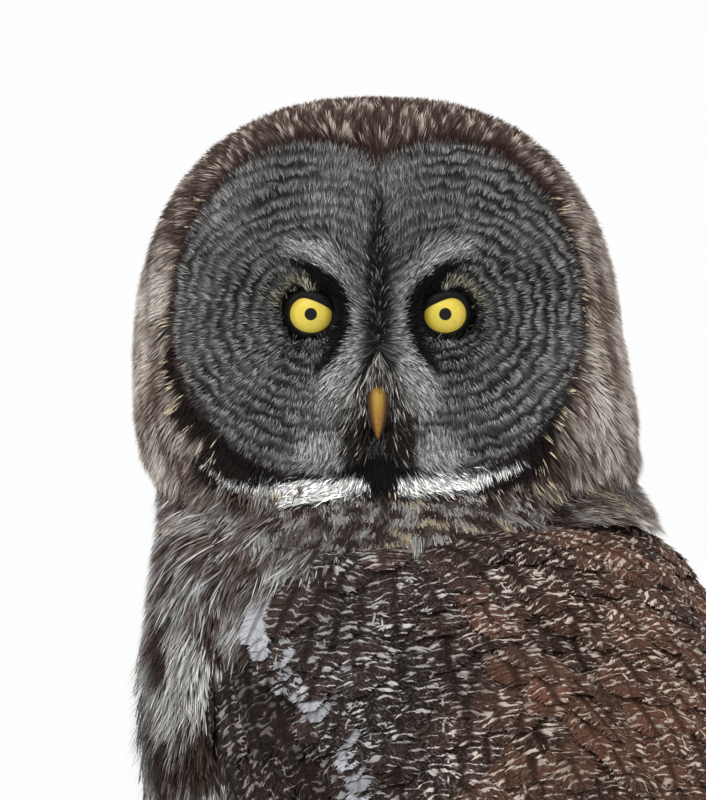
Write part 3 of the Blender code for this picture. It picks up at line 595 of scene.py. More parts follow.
def turn_share(places, behind):
    """How far round an upright axis places lie, from 0 to 1; the axis is that far behind the head's."""
    return np.arctan2(places[:, 1] - HEAD_AXIS_Y - behind, places[:, 0]) / (2 * math.pi) + 0.5


def bake_places(roots):
    """Each root's place on an unwrap of the skin: round and up the body, or round and up the head."""
    reach = np.linalg.norm(roots - HEAD_CENTRE, axis=1)
    climb = np.arcsin(np.clip((roots[:, 2] - HEAD_CENTRE[2]) / reach, -1, 1))
    on_head = roots[:, 2] > HEAD_FROM
    return np.column_stack((
        np.where(on_head, turn_share(roots, 0.0), turn_share(roots, BODY_TURN_BACK)),
        np.where(on_head, HEAD_MID_LEVEL + HEAD_LEVELS * climb / math.pi, roots[:, 2] / BAKE_TOP),
    ))


BAKE_PATCH = 0.003


def coat_piece(name, parts, material):
    """One joined mesh of feathers. Each part holds its places, faces, shape and per-feather traits."""
    held = {key: [] for key in ("places", "faces", "vane", "bake", "tint", "pale", "marks", "lot")}
    count = 0
    for part in parts:
        number, size = part["places"].shape[:2]
        firsts = (np.arange(number) * size)[:, None, None] + count
        vane = np.column_stack((part["shape"][:, 0] * 0.5 + 0.5, part["shape"][:, 1]))
        held["places"].append(part["places"].reshape(-1, 3))
        held["faces"].append((part["faces"][None] + firsts).reshape(-1, 3))
        held["vane"].append(np.tile(vane, (number, 1)))
        held["bake"].append((part["bake"][:, None] + (vane - 0.5)[None] * BAKE_PATCH).reshape(-1, 2))
        for key in ("tint", "pale", "marks", "lot"):
            held[key].append(np.repeat(part[key], size, axis=0))
        count += number * size
    whole = {key: np.concatenate(values) for key, values in held.items()}
    mesh = bpy.data.meshes.new(name)
    mesh.from_pydata(whole["places"], [], whole["faces"])
    order = array_of(mesh.loops, "vertex_index", 1, np.int32)
    for map_name, key in (("vane", "vane"), ("OFBake", "bake")):
        layer = mesh.uv_layers.new(name=map_name)
        layer.uv.foreach_set("vector", whole[key][order].astype(np.float32).ravel())
    mark_points(mesh, "tint", with_alpha(whole["tint"]))
    mark_points(mesh, "pale", with_alpha(whole["pale"]))
    mark_points(mesh, "marks", whole["marks"])
    mark_points(mesh, "lot", whole["lot"])
    mesh.shade_smooth()
    mesh.materials.append(material)
    piece = bpy.data.objects.new(name, mesh)
    scene.collection.objects.link(piece)
    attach(piece, "root")
    return piece


def part_of(shape_and_faces, lines, widths, sink, rise, camber, roots, traits, draw):
    """One part of a coat piece: feathers of one shape along their centrelines."""
    shape, faces = shape_and_faces
    number = len(roots)
    full = np.ones(number)
    places = feather_places(shape, *lines, widths * full, sink * full, rise * full, camber)
    found = {"places": places, "faces": faces, "shape": shape, "bake": bake_places(roots)}
    found["tint"] = traits["tint"] + np.zeros((number, 3))
    found["pale"] = traits.get("pale", np.ones(3)) + np.zeros((number, 3))
    found["marks"] = np.column_stack([traits.get(k, 0.0) * full for k in ("bars", "streak", "count")])
    found["lot"] = draw.random(number)
    return found


# Steps that the shaders are put together from.
def link_value(tree, target, value):
    """Gives a shader input a number or colour, or links another node's output to it."""
    if isinstance(value, bpy.types.NodeSocket):
        tree.links.new(value, target)
    else:
        target.default_value = value


def calculate(tree, operation, *values):
    """A Math node on sockets or numbers."""
    made = tree.nodes.new("ShaderNodeMath")
    made.operation = operation
    for target, value in zip(made.inputs, values):
        link_value(tree, target, value)
    return made.outputs[0]


def between(tree, value, low, high):
    """Runs smoothly from 0 at low to 1 at high, in a shader."""
    made = tree.nodes.new("ShaderNodeMapRange")
    made.interpolation_type = "SMOOTHSTEP"
    tree.links.new(value, made.inputs["Value"])
    made.inputs["From Min"].default_value = low
    made.inputs["From Max"].default_value = high
    return made.outputs["Result"]


def new_group(name, takes, gives):
    """A shader group's tree with its inputs and outputs made."""
    group = bpy.data.node_groups.new(name, "ShaderNodeTree")
    for label in takes:
        group.interface.new_socket(label, in_out="INPUT", socket_type="NodeSocketFloat")
    for label in gives:
        group.interface.new_socket(label, in_out="OUTPUT", socket_type="NodeSocketFloat")
    return group, group.nodes.new("NodeGroupInput").outputs, group.nodes.new("NodeGroupOutput").inputs


def group_in(tree, group, **values):
    """A shader group used in a material, with its inputs given by name."""
    made = tree.nodes.new("ShaderNodeGroup")
    made.node_tree = group
    for key, value in values.items():
        link_value(tree, made.inputs[key], value)
    return made.outputs[0]


def vane_sockets(tree):
    """Across from -1 to 1 and along from 0 to 1 in each feather."""
    vane_map = tree.nodes.new("ShaderNodeUVMap")
    vane_map.uv_map = "vane"
    split = tree.nodes.new("ShaderNodeSeparateXYZ")
    tree.links.new(vane_map.outputs[0], split.inputs[0])
    across_value = calculate(tree, "MULTIPLY_ADD", split.outputs[0], 2.0, -1.0)
    return across_value, split.outputs[1]


def marks_in(tree):
    """What each feather carries: how strong its bars and its streak are, and how many bars it has."""
    split = tree.nodes.new("ShaderNodeSeparateXYZ")
    tree.links.new(attribute_in(tree, "marks").outputs["Vector"], split.inputs[0])
    return split.outputs


def light_up(tree, colour, light):
    """Gives a material a colour made lighter or darker by a value."""
    lit = tree.nodes.new("ShaderNodeVectorMath")
    lit.operation = "SCALE"
    tree.links.new(colour, lit.inputs[0])
    tree.links.new(light, lit.inputs["Scale"])
    tree.links.new(lit.outputs[0], tree.nodes["Principled BSDF"].inputs["Base Color"])


# The rings: each barb's lot shifts it a little along the pattern, and sets how light it is.
# Each barb also darkens towards its root, as painted shade between the barbs.
RING_WOBBLE = 0.40
RING_EDGES = (0.10, 0.38)
RING_DEPTH = -0.91
BARB_DARKEST = 0.22
BARB_LOT_GAIN = 1.55
BARB_SHADED_ROOT = 0.35
BARB_TIP_GAIN = 0.80

rings_group, taken, given = new_group("face rings", ("Phase", "Lot"), ("Value",))
wobble = calculate(rings_group, "MULTIPLY_ADD", taken["Lot"], RING_WOBBLE, taken["Phase"])
ripple = calculate(rings_group, "PINGPONG", wobble, 0.5)
rings_group.links.new(between(rings_group, ripple, *RING_EDGES), given["Value"])

face_barb = plain_material("face barb", RING_LIGHT, 0.8, 0.2)
tree = face_barb.node_tree
reckon = partial(calculate, tree)
face_lot = attribute_in(tree, "lot").outputs["Fac"]
pale_ring = group_in(tree, rings_group, Phase=attribute_in(tree, "phase").outputs["Fac"], Lot=face_lot)
dark_ring = reckon("MULTIPLY", reckon("SUBTRACT", 1.0, pale_ring), marks_in(tree)[0])
ring_light = reckon("MULTIPLY_ADD", dark_ring, RING_DEPTH, 1.0)
lot_light = reckon("MULTIPLY_ADD", reckon("MULTIPLY", face_lot, face_lot), BARB_LOT_GAIN, BARB_DARKEST)
_, face_along = vane_sockets(tree)
# Darker towards each barb's root: painted shade between the barbs.
barb_root_shade = reckon("MULTIPLY_ADD", face_along, BARB_TIP_GAIN, BARB_SHADED_ROOT)
light_up(tree, attribute_in(tree, "tint").outputs["Color"],
         reckon("MULTIPLY", reckon("MULTIPLY", ring_light, barb_root_shade), lot_light))


CAST_FROM = 0.08


def face_surface(right, rise):
    """Places on the face straight behind places in the picture, in millimetres."""
    front = (face_middle + right[:, None] * image_right / 1000.0 + rise[:, None] * UP / 1000.0
             + facing * CAST_FROM)
    return carrier.cast(front, tuple(-facing))


# The barbs' sizes are in millimetres. A barb's colour is that of the place its outer part covers.
BARB_SHORTEST = 2.8
BARB_GROWTH = 4.4
BARB_THINNEST = 0.24
BARB_THICKEST = 0.46
BARB_SEEN_AT = 0.68
BARE_REACH = 7.4
BARB_SINK = 0.0016
FACE_BAKE_REACH = 0.095

face_draw = np.random.default_rng(3)
columns = np.arange(-FACE_HALF_WIDE, FACE_HALF_WIDE, FACE_GRID)
rows = np.arange(FACE_FOOT, FACE_TOP, FACE_GRID)
grid_x, grid_z = (part.ravel() for part in np.meshgrid(columns, rows))
grid_x = grid_x + face_draw.uniform(-0.5, 0.5, len(grid_x)) * FACE_GRID
grid_z = grid_z + face_draw.uniform(-0.5, 0.5, len(grid_z)) * FACE_GRID
reach = np.hypot(beside_eye(grid_x), grid_z)
way_x, way_z = face_way(grid_x, grid_z)
barb_length = BARB_SHORTEST + BARB_GROWTH * ease(9.0, 32.0, reach)
barb_length = barb_length * face_draw.uniform(0.75, 1.25, len(reach))
barb_length *= np.where(ease(16.0, 9.0, np.abs(grid_x)) * (np.abs(grid_z) < 40.0) > 0.5, 0.8, 1.0)
seen_x = grid_x + way_x * barb_length * BARB_SEEN_AT
seen_z = grid_z + way_z * barb_length * BARB_SEEN_AT
lower = (np.abs(seen_x) < 13.0) & (seen_z < -40.0) & (seen_z > -66.0)
bill_room = (np.abs(grid_x) < 3.4) & (grid_z < -22.5) & (grid_z > -40.0)
wanted = (disc_share(seen_x, seen_z) < 1.03) | (from_bands(seen_x, seen_z) < 4.6) | lower
wanted &= (reach > BARE_REACH) & ~bill_room
grid_x, grid_z, seen_x, seen_z, way_x, way_z, barb_length = (
    values[wanted] for values in (grid_x, grid_z, seen_x, seen_z, way_x, way_z, barb_length)
)
places, outs, struck = face_surface(grid_x, grid_z)
struck &= dots(outs, facing) > 0.05
ways = way_x[:, None] * image_right + way_z[:, None] * UP
ways = flat_on(ways + face_draw.normal(0.0, 0.19, ways.shape), outs)
colour, ringed = face_marks(seen_x, seen_z, face_draw)
reach = np.hypot(beside_eye(grid_x), grid_z)
barb_width = face_draw.uniform(BARB_THINNEST, BARB_THICKEST, len(reach)) / 1000.0
barb_rise = np.where(reach < 11.0, 0.0005, 0.0009) + face_draw.uniform(0.0, 0.0011, len(reach))
barb_blade = strand_shape(((0.0, 0.7), (0.38, 1.0), (0.74, 0.72)))
for label, half in (("left", grid_x >= 0), ("right", grid_x < 0)):
    chosen = half & struck
    lines = straight(places[chosen], outs[chosen], ways[chosen], barb_length[chosen] / 1000.0, 3)
    traits = {"tint": colour[chosen], "bars": ringed[chosen]}
    part = part_of(barb_blade, lines, barb_width[chosen], BARB_SINK, barb_rise[chosen], 0.0,
                   places[chosen], traits, face_draw)
    offset = places[chosen] - eye_at[label]
    turn = np.arctan2(offset[:, 2], offset @ image_right) / (2 * math.pi) + 0.5
    part["bake"] = np.column_stack((turn, np.linalg.norm(offset, axis=1) / FACE_BAKE_REACH))
    piece = coat_piece(f"face_barbs_{label}", [part], face_barb)
    held = array_of(piece.data.vertices, "co", 3).astype(float)
    right, rise, _ = face_places(held)
    spread_out = np.hypot(beside_eye(right) * RING_STRETCH, rise)
    sway = 0.34 * drift(held, 0.013, 8) + 0.20 * drift(held, 0.0042, 9) + 0.14 * drift(held, 0.0018, 10)
    mark_points(piece.data, "phase", spread_out / RING_PITCH + sway)


# The bristles. Stiff hair-like barbs that arch forward beside the bill and over its root, and dark
# curved tufts below it, above the black chin. Short dark barbs cover the seam between the discs.
BRISTLES = 2200
BRISTLE_SHORTEST = 6.0
BRISTLE_LONGEST = 10.5
BRISTLE_SHARES = (0.0, 0.3, 0.6, 1.0)
BRISTLE_TURNS = (-96.0, -84.0, -66.0, -58.0)
BRISTLE_DARK = tone(42, 36, 32)
BRISTLE_PALE = tone(166, 162, 158)
BRISTLE_SINK = 0.0008
SEAM_TUFTS = 900
SEAM_RISES = (-11.0, -3.0, 6.0, 16.0, 38.0)
SEAM_HALVES = (0.8, 3.0, 2.5, 1.6, 0.9)
SEAM_PALE = tone(138, 136, 134)
SEAM_DARK = tone(44, 41, 39)

long_blade = strand_shape(((0.0, 0.7), (0.35, 1.0), (0.72, 0.7)))
bristle_draw = np.random.default_rng(5)
share = bristle_draw.random(BRISTLES) ** 1.25
sign = np.where(bristle_draw.random(BRISTLES) < 0.5, -1.0, 1.0)
root_x = sign * (3.2 + 5.5 * bristle_draw.random(BRISTLES)) * (0.10 + 0.90 * ease(0.0, 0.42, share))
root_z = -13.0 - 34.0 * share
places, outs, struck = face_surface(root_x, root_z)
turn = np.radians(np.interp(share, BRISTLE_SHARES, BRISTLE_TURNS))
turn = turn + bristle_draw.normal(0.0, 0.20, BRISTLES)
reach = bristle_draw.uniform(BRISTLE_SHORTEST, BRISTLE_LONGEST, BRISTLES) / 1000.0
arch = bristle_draw.uniform(0.0015, 0.0050, BRISTLES) + 0.0050 * ease(0.45, 0.0, share)
arch = arch + 0.0030 * ease(3.5, 1.0, np.abs(root_x))
steps = np.linspace(0.0, 1.0, 5)
lines = places[:, None] + (
    (np.cos(turn) * sign * reach)[:, None, None] * steps[:, None] * image_right
    + (np.sin(turn) * reach)[:, None, None] * steps[:, None] * UP
    + arch[:, None, None] * np.sin(steps * math.pi * 0.62)[:, None] * facing
)
lines = (lines, np.tile(facing, lines.shape[:2] + (1,)), unit(np.gradient(lines, axis=1)))
dark = bristle_draw.random(BRISTLES) < 0.50 + 0.42 * ease(0.4, 0.7, share)
colour = np.where(dark[:, None], BRISTLE_DARK, BRISTLE_PALE)
picked = [part[struck] for part in lines]
part = part_of(long_blade, picked, bristle_draw.uniform(0.30, 0.55, struck.sum()) / 1000.0,
               BRISTLE_SINK, 0.0, 0.0, places[struck], {"tint": colour[struck]}, bristle_draw)
seam_rise = bristle_draw.uniform(SEAM_RISES[0], SEAM_RISES[-1], SEAM_TUFTS)
seam_half = np.interp(seam_rise, SEAM_RISES, SEAM_HALVES)
seam_right = bristle_draw.normal(0.0, 0.5, SEAM_TUFTS) * seam_half
places, outs, struck = face_surface(seam_right, seam_rise)
ways = (UP * 0.9 + facing * 0.35 + image_right * (seam_right * 0.30)[:, None]
        + bristle_draw.normal(0.0, 0.34, places.shape))
reach = bristle_draw.uniform(0.0024, 0.0046, SEAM_TUFTS)
light = bristle_draw.random(SEAM_TUFTS) < 0.24
colour = np.where(light[:, None], SEAM_PALE, SEAM_DARK)
lines = straight(places[struck], outs[struck], unit(ways)[struck], reach[struck], 3)
seam = part_of(long_blade, lines, bristle_draw.uniform(0.28, 0.55, struck.sum()) / 1000.0, BRISTLE_SINK,
               bristle_draw.uniform(0.0008, 0.0020, struck.sum()), 0.0, places[struck],
               {"tint": colour[struck]}, bristle_draw)
bristles = coat_piece("bristles", [part, seam], face_barb)
mark_points(bristles.data, "phase", np.zeros(len(bristles.data.vertices)))


# The eyes. A dark ball with a yellow iris, a small black pupil and a clear wet front, set in black
# rims whose upper lid slopes down towards the bill.
EYE_RADIUS = 0.0112
IRIS_REACH = 0.0073
PUPIL_REACH = 0.0022
LID_STEPS = 72
LID_SIDES = 10
LID_SLOPE = 0.437
LID_CUT = 5.2
LID_CORNER = 7
LIDS_HALF_WIDE = 7.35
LIDS_HALF_TALL = 6.45
LID_GAP = 0.0002
LID_FLARE = 0.00034
LID_THICK = 0.00045
EYE_TURNS = 64
EYE_WET = 0.22
EYE_WET_ROUGHNESS = 0.06
IRIS_YELLOW = tone(216, 194, 78)
IRIS_EDGE = tone(180, 156, 56)
IRIS_RAYS = 16.0
RAY_DEPTH = 0.80
PUPIL_BLACK = (0.001, 0.001, 0.0015, 1.0)
LID_BLACK = (0.004, 0.0035, 0.0035)


def loft_mesh(name, rings, material, closed=False):
    """A closed skin over rings of places: capped at both ends, or run round to meet itself."""
    rings = np.asarray(rings, float)
    count, size = rings.shape[:2]
    faces = []
    for i in range(count if closed else count - 1):
        k = (i + 1) % count
        for j in range(size):
            n = (j + 1) % size
            faces.append((i * size + j, i * size + n, k * size + n, k * size + j))
    if not closed:
        faces.append(tuple(range(size))[::-1])
        faces.append(tuple((count - 1) * size + j for j in range(size)))
    mesh = bpy.data.meshes.new(name)
    mesh.from_pydata(rings.reshape(-1, 3).tolist(), [], faces)
    work = bmesh.new()
    work.from_mesh(mesh)
    bmesh.ops.recalc_face_normals(work, faces=work.faces)
    work.to_mesh(mesh)
    work.free()
    mesh.shade_smooth()
    mesh.materials.append(material)
    piece = bpy.data.objects.new(name, mesh)
    scene.collection.objects.link(piece)
    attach(piece, "root")
    return piece


def speckle(tree, x, y, z, detail=1.0):
    """Noise at a place made of three values."""
    place = tree.nodes.new("ShaderNodeCombineXYZ")
    for target, value in zip(place.inputs, (x, y, z)):
        link_value(tree, target, value)
    noise = tree.nodes.new("ShaderNodeTexNoise")
    noise.inputs["Scale"].default_value = 1.0
    noise.inputs["Detail"].default_value = detail
    tree.links.new(place.outputs[0], noise.inputs["Vector"])
    return noise.outputs["Fac"]


def blended(tree, share, first, second, kind="MIX"):
    """A colour between two, or one laid over the other in another way, by a share."""
    made = tree.nodes.new("ShaderNodeMix")
    made.data_type = "RGBA"
    made.blend_type = kind
    link_value(tree, made.inputs["Factor"], share)
    link_value(tree, made.inputs["A"], first)
    link_value(tree, made.inputs["B"], second)
    return made.outputs["Result"]


eye_material = plain_material("wet eye", IRIS_YELLOW, 0.35, 0.12)
tree = eye_material.node_tree
surface = tree.nodes["Principled BSDF"]
surface.inputs["Coat Weight"].default_value = EYE_WET
surface.inputs["Coat Roughness"].default_value = EYE_WET_ROUGHNESS
reach_value = attribute_in(tree, "reach").outputs["Fac"]
turn_value = attribute_in(tree, "turn").outputs["Fac"]
fibres = speckle(tree, calculate(tree, "MULTIPLY", turn_value, IRIS_RAYS),
                 calculate(tree, "MULTIPLY", reach_value, 2.5), 0.0, 2.0)
iris = blended(tree, between(tree, fibres, 0.45, 0.75), opaque(IRIS_YELLOW), opaque(IRIS_YELLOW * RAY_DEPTH))
iris = blended(tree, between(tree, reach_value, 0.62, 1.0), iris, opaque(IRIS_EDGE))
iris = blended(tree, between(tree, reach_value, 0.96, 1.04), iris, opaque(NEAR_BLACK))
pupil_share = PUPIL_REACH / IRIS_REACH
pupil = between(tree, reach_value, pupil_share * 0.94, pupil_share * 1.05)
tree.links.new(blended(tree, pupil, PUPIL_BLACK, iris), surface.inputs["Base Color"])
lid_material = plain_material("lid skin", LID_BLACK, 0.6, 0.15)


def lid_reach(out, rise):
    """How far from the pupil the lids open, in metres, in a direction; out is away from the bill."""
    open_to = 1.0 / math.hypot(out / LIDS_HALF_WIDE, rise / LIDS_HALF_TALL)
    over = rise - LID_SLOPE * out
    if over > 0.02:
        open_to = (open_to**-LID_CORNER + (LID_CUT / over) ** -LID_CORNER) ** (-1 / LID_CORNER)
    return open_to / 1000.0


for side, sign in (("left", 1.0), ("right", -1.0)):
    centre = eye_at[side]
    rings = []
    turn = np.linspace(0.0, 2 * math.pi, EYE_TURNS, endpoint=False)
    for angle in np.radians(np.concatenate((np.linspace(0.6, 45.0, 30), np.linspace(50.0, 179.4, 16)))):
        ring = (facing * math.cos(angle) + np.cos(turn)[:, None] * image_right * math.sin(angle)
                + np.sin(turn)[:, None] * UP * math.sin(angle))
        rings.append(centre + ring * EYE_RADIUS)
    eyeball = loft_mesh(f"eyeball_{side}", rings, eye_material)
    held = (array_of(eyeball.data.vertices, "co", 3) - centre) / EYE_RADIUS
    out = np.sin(np.arccos(np.clip(held @ facing, 0, 1))) * EYE_RADIUS / IRIS_REACH
    out = np.where(held @ facing > 0, out, 2.0)
    mark_points(eyeball.data, "reach", out)
    mark_points(eyeball.data, "turn", np.abs(np.arctan2(held[:, 2], held @ image_right)))
    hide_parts(f"eye_{side}")
    rings = []
    for turn in np.linspace(0.0, 2 * math.pi, LID_STEPS, endpoint=False):
        out, rise = math.cos(turn), math.sin(turn)
        reach = lid_reach(out, rise)
        across = unit(out * sign * image_right + rise * UP)
        tilt = math.asin(min(reach / EYE_RADIUS, 0.97))
        base = facing * math.cos(tilt) + across * math.sin(tilt)
        slide = across * math.cos(tilt) - facing * math.sin(tilt)
        flare = LID_FLARE + 0.0006 * ease(0.5, -0.6, out) + 0.0009 * ease(0.10, 0.7, rise)
        thick = LID_THICK + 0.0004 * ease(0.1, 0.9, rise)
        spins = 2 * math.pi * np.arange(LID_SIDES) / LID_SIDES
        rings.append(centre + base * (EYE_RADIUS + LID_GAP + thick * np.sin(spins))[:, None]
                     + slide * (flare + flare * np.cos(spins))[:, None])
    rim = loft_mesh(f"lids_{side}", rings, lid_material, closed=True)


# The bill. Horn, golden yellow and deeper at the hooked tip, with painted shade on its flanks that leaves
# the ridge lighter; half sunk in the bristles, with the lower mandible shut behind it.
BILL_ROOT = (-0.0245, 0.0172)
BILL_LENGTH = 0.0205
BILL_START = math.radians(44.0)
BILL_HOOK = math.radians(52.0)
BILL_HALF_WIDTH = 0.0041
BILL_HALF_DEPTH = 0.0058
BILL_SIDES = 28
BILL_STATIONS = 30
LOWER_BILL_SHARE = 0.66
LOWER_BILL_DROP = 0.62
LOWER_BILL_WIDE = 0.84
LOWER_BILL_DEEP = 0.55
HORN_YELLOW = tone(164, 128, 44)
HORN_TIP = tone(150, 100, 30)
HORN_STAIN = tone(96, 64, 24)
HORN_PAINTED_SHADE = tone(72, 48, 20)
STAIN_SCALE = 900.0
STAIN_STRENGTH = 0.55

bill_material = plain_material("bill horn", HORN_YELLOW, 0.42, 0.35)
tree = bill_material.node_tree
bill_along = attribute_in(tree, "along").outputs["Fac"]
bill_side = attribute_in(tree, "flank").outputs["Fac"]
stain = tree.nodes.new("ShaderNodeTexNoise")
stain.inputs["Scale"].default_value = STAIN_SCALE
stain.inputs["Detail"].default_value = 3.0
tree.links.new(tree.nodes.new("ShaderNodeTexCoord").outputs["Object"], stain.inputs["Vector"])
horn = blended(tree, between(tree, bill_along, 0.35, 0.95), opaque(HORN_YELLOW), opaque(HORN_TIP))
stained = calculate(tree, "MULTIPLY", between(tree, stain.outputs["Fac"], 0.48, 0.70), STAIN_STRENGTH)
horn = blended(tree, stained, horn, opaque(HORN_STAIN))
# Darker down the flanks, away from the ridge: painted shade.
horn = blended(tree, between(tree, bill_side, 0.35, 0.92), horn, opaque(HORN_PAINTED_SHADE))
tree.links.new(horn, tree.nodes["Principled BSDF"].inputs["Base Color"])


def bill_rings(lower, stations):
    """Cross-sections of a mandible from its root to its tip, and how far round its flank each place is."""
    found = []
    root = face_middle + UP * BILL_ROOT[0] + facing * BILL_ROOT[1]
    turn = np.linspace(0.0, 2 * math.pi, BILL_SIDES, endpoint=False)
    for share in stations:
        bend = BILL_START + BILL_HOOK * share
        chord = BILL_START + BILL_HOOK * share / 2
        middle = root + (facing * math.cos(chord) - UP * math.sin(chord)) * BILL_LENGTH * share
        up = facing * math.sin(bend) + UP * math.cos(bend)
        taper = max(1 - share**2.4, 0.0) ** 0.75 + 0.02
        width = BILL_HALF_WIDTH * taper * (0.45 + 0.55 * min(share / 0.35, 1.0) ** 0.6)
        depth = BILL_HALF_DEPTH * (0.20 + 0.80 * taper) * (1.0 if share < 0.985 else 0.4)
        if lower:
            middle = middle - up * (BILL_HALF_DEPTH * LOWER_BILL_DROP)
            width, depth = width * LOWER_BILL_WIDE, depth * LOWER_BILL_DEEP
        pinch = 1.0 - 0.30 * np.clip(np.sin(turn), 0.0, 1.0) ** 2
        found.append(middle + np.cos(turn)[:, None] * pinch[:, None] * image_right * width
                     + np.sin(turn)[:, None] * up * depth)
    return found, np.abs(np.cos(turn))


for name, lower, last in (("bill_upper", False, 1.0), ("bill_lower", True, LOWER_BILL_SHARE)):
    stations = np.linspace(0.0, last, BILL_STATIONS)
    rings, flank = bill_rings(lower, stations)
    piece = loft_mesh(name.replace("bill", "horn_bill"), rings, bill_material)
    mark_points(piece.data, "along", np.repeat(stations, BILL_SIDES))
    mark_points(piece.data, "flank", np.tile(flank, BILL_STATIONS))
    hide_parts(name)


# The head's own plumage. Fine soft barbs behind the discs' edge, brown mottled with pale and dark
# patches, that lie back over the crown and down the sides and nape, with a dark row at the edge.
HEAD_PALE = tone(172, 160, 150)
HEAD_DARK = tone(58, 43, 38)
SIDE_GREY = tone(166, 155, 146)
FLECK_BUFF = tone(216, 200, 170)
SIDE_PALE = tone(204, 196, 188)
SIDE_DARK = tone(92, 75, 66)
LIT_GREY = tone(192, 180, 170)
LIT_DARK = tone(122, 104, 94)
HEAD_BARB = 0.0058
NAPE_BARB_MORE = 0.0030
LOW_BARB_MORE = 0.0025
HEAD_BARB_WIDTH = 0.00046
NAPE_WIDTH_MORE = 0.00022
HEAD_SPACING = 0.00086
NAPE_SPACING_MORE = 0.00034
HEAD_FOOT = 0.322
HEAD_SINK = 0.0024
SEEN_AT = 0.7
NAPE_BEHIND = -46.0
PATCH_SOFTNESS = 0.22
HANG_FORWARD = 0.30
HANG_SPREAD = 0.16
DARK_PATCHES = -0.34
PALE_PATCHES = 0.32
RIM_TURNS = (-180.0, -150.0, -100.0, -90.0, -60.0, -20.0, 10.0, 35.0, 60.0, 90.0, 125.0, 150.0, 180.0)
RIM_BROADS = (0.06, 0.17, 0.20, 0.20, 0.18, 0.04, 0.03, 0.07, 0.09, 0.06, 0.05, 0.05, 0.05)


def scatter(form, spacing_of, seed, density=1.0):
    """Places strewn over a form, one to each square of the asked spacing."""
    draw = np.random.default_rng(seed)
    quads, crossed = form.crossings()
    areas = np.linalg.norm(crossed, axis=1) / 2
    middles = quads.mean(axis=1)
    spacings = spacing_of(middles, form.face_normals)
    wanted = spacings > 0
    weights = np.where(wanted, areas / np.maximum(spacings, 1e-4) ** 2, 0.0)
    count = int(weights.sum() * density)
    chosen = draw.choice(len(weights), size=count, p=weights / weights.sum())
    u, v = draw.random((2, count))
    corner = quads[chosen]
    places = (corner[:, 0] * ((1 - u) * (1 - v))[:, None] + corner[:, 1] * (u * (1 - v))[:, None]
              + corner[:, 2] * (u * v)[:, None] + corner[:, 3] * ((1 - u) * v)[:, None])
    return places, form.face_normals[chosen], spacings[chosen]


# The coat falls down and a little back on the body, and further back at the vent. The neck's turns
# outwards less at the picture's right.
BODY_FALL = np.array((0.0, 0.20, -1.0))
VENT_FALL = np.array((0.0, 0.75, -0.66))
NECK_OUT_RIGHT = 0.30


def lie(points, normals):
    """Which way the coat lies: back from the face, then down the neck and the body."""
    right, rise, _ = face_places(points)
    height = points[..., 2]
    radial = unit(right[..., None] * image_right + (rise + 6.0)[..., None] * UP)
    ahead = np.clip(dots(normals, facing), 0.0, 1.0)
    behind = ease(0.0, 0.8, -dots(normals, facing))
    falling = 0.35 + 1.2 * behind + 0.9 * ease(10.0, -50.0, rise) + ease(45.0, 78.0, np.abs(right))
    head_way = radial * (1.1 * ahead)[..., None] - facing - UP * falling[..., None]
    outward = np.clip(right / 70.0, -1.0, NECK_OUT_RIGHT) * ease(0.285, 0.325, height)
    neck_way = image_right * outward[..., None] - UP - facing * 0.12
    vent = ease(0.0, 0.05, points[..., 1]) * ease(0.150, 0.115, height)
    body_way = mix(BODY_FALL, VENT_FALL, vent)
    ways = mix(unit(body_way), unit(neck_way), ease(0.265, 0.300, height))
    ways = mix(ways, unit(head_way), ease(0.325, 0.350, height))
    return flat_on(ways, normals)


def head_spacing(points, normals):
    """How far apart barbs stand behind the discs' edge, or 0 on the face, bands and chin."""
    right, rise, forward = face_places(points)
    edge = disc_share(right, rise)
    wanted = ((edge > 0.985) | (forward < -16.0)) & (points[:, 2] > HEAD_FOOT)
    in_front = dots(normals, facing) > 0.1
    chin = (np.abs(right) < 11.0) & (rise > -68.0) & (rise < -40.0)
    wanted &= ~(in_front & ((from_bands(right, rise) < 3.0) | chin))
    return np.where(wanted, HEAD_SPACING + NAPE_SPACING_MORE * ease(-20.0, -70.0, forward), 0.0)


def swirled(ways, outs, amount):
    """Ways turned a little to one side, so that barbs draw together in locks."""
    return unit(ways + np.cross(outs, ways) * amount[:, None])


def hanging_way(roots, right, draw):
    """Where the collar's barbs point: they hang free under the chin, a little forward and outward."""
    outward = image_right * np.clip(right / 110.0, -0.6, 0.4)[:, None]
    ways = unit(facing * HANG_FORWARD - UP + outward + draw.normal(0.0, HANG_SPREAD, roots.shape))
    return swirled(ways, facing + np.zeros_like(roots), 0.5 * drift(roots, 0.008, 36))


def mottled(ground, pale, dark, field, low, high):
    """Ground colour broken by pale patches where the field is high and dark ones where it is low."""
    colour = mix(ground, pale, ease(high - PATCH_SOFTNESS, high + PATCH_SOFTNESS, field))
    return mix(colour, dark, ease(low + PATCH_SOFTNESS, low - PATCH_SOFTNESS, field))


# Downy strands darken towards their roots as painted shade between them, and each has its own lightness.
STRAND_TIP_GAIN = 0.75
STRAND_SHADED_ROOT = 0.45
STRAND_LOT_GAIN = 0.7
STRAND_DARKEST = 0.65

strand = plain_material("downy strand", HEAD_BROWN, 0.85, 0.15)
tree = strand.node_tree
_, strand_along = vane_sockets(tree)
# Darker towards each strand's root: painted shade between the strands.
strand_root_shade = calculate(tree, "MULTIPLY_ADD", strand_along, STRAND_TIP_GAIN, STRAND_SHADED_ROOT)
own_light = calculate(tree, "MULTIPLY_ADD", attribute_in(tree, "lot").outputs["Fac"],
                      STRAND_LOT_GAIN, STRAND_DARKEST)
light_up(tree, attribute_in(tree, "tint").outputs["Color"],
         calculate(tree, "MULTIPLY", strand_root_shade, own_light))
fine_blade = strand_shape(((0.0, 0.6), (0.5, 1.0)))

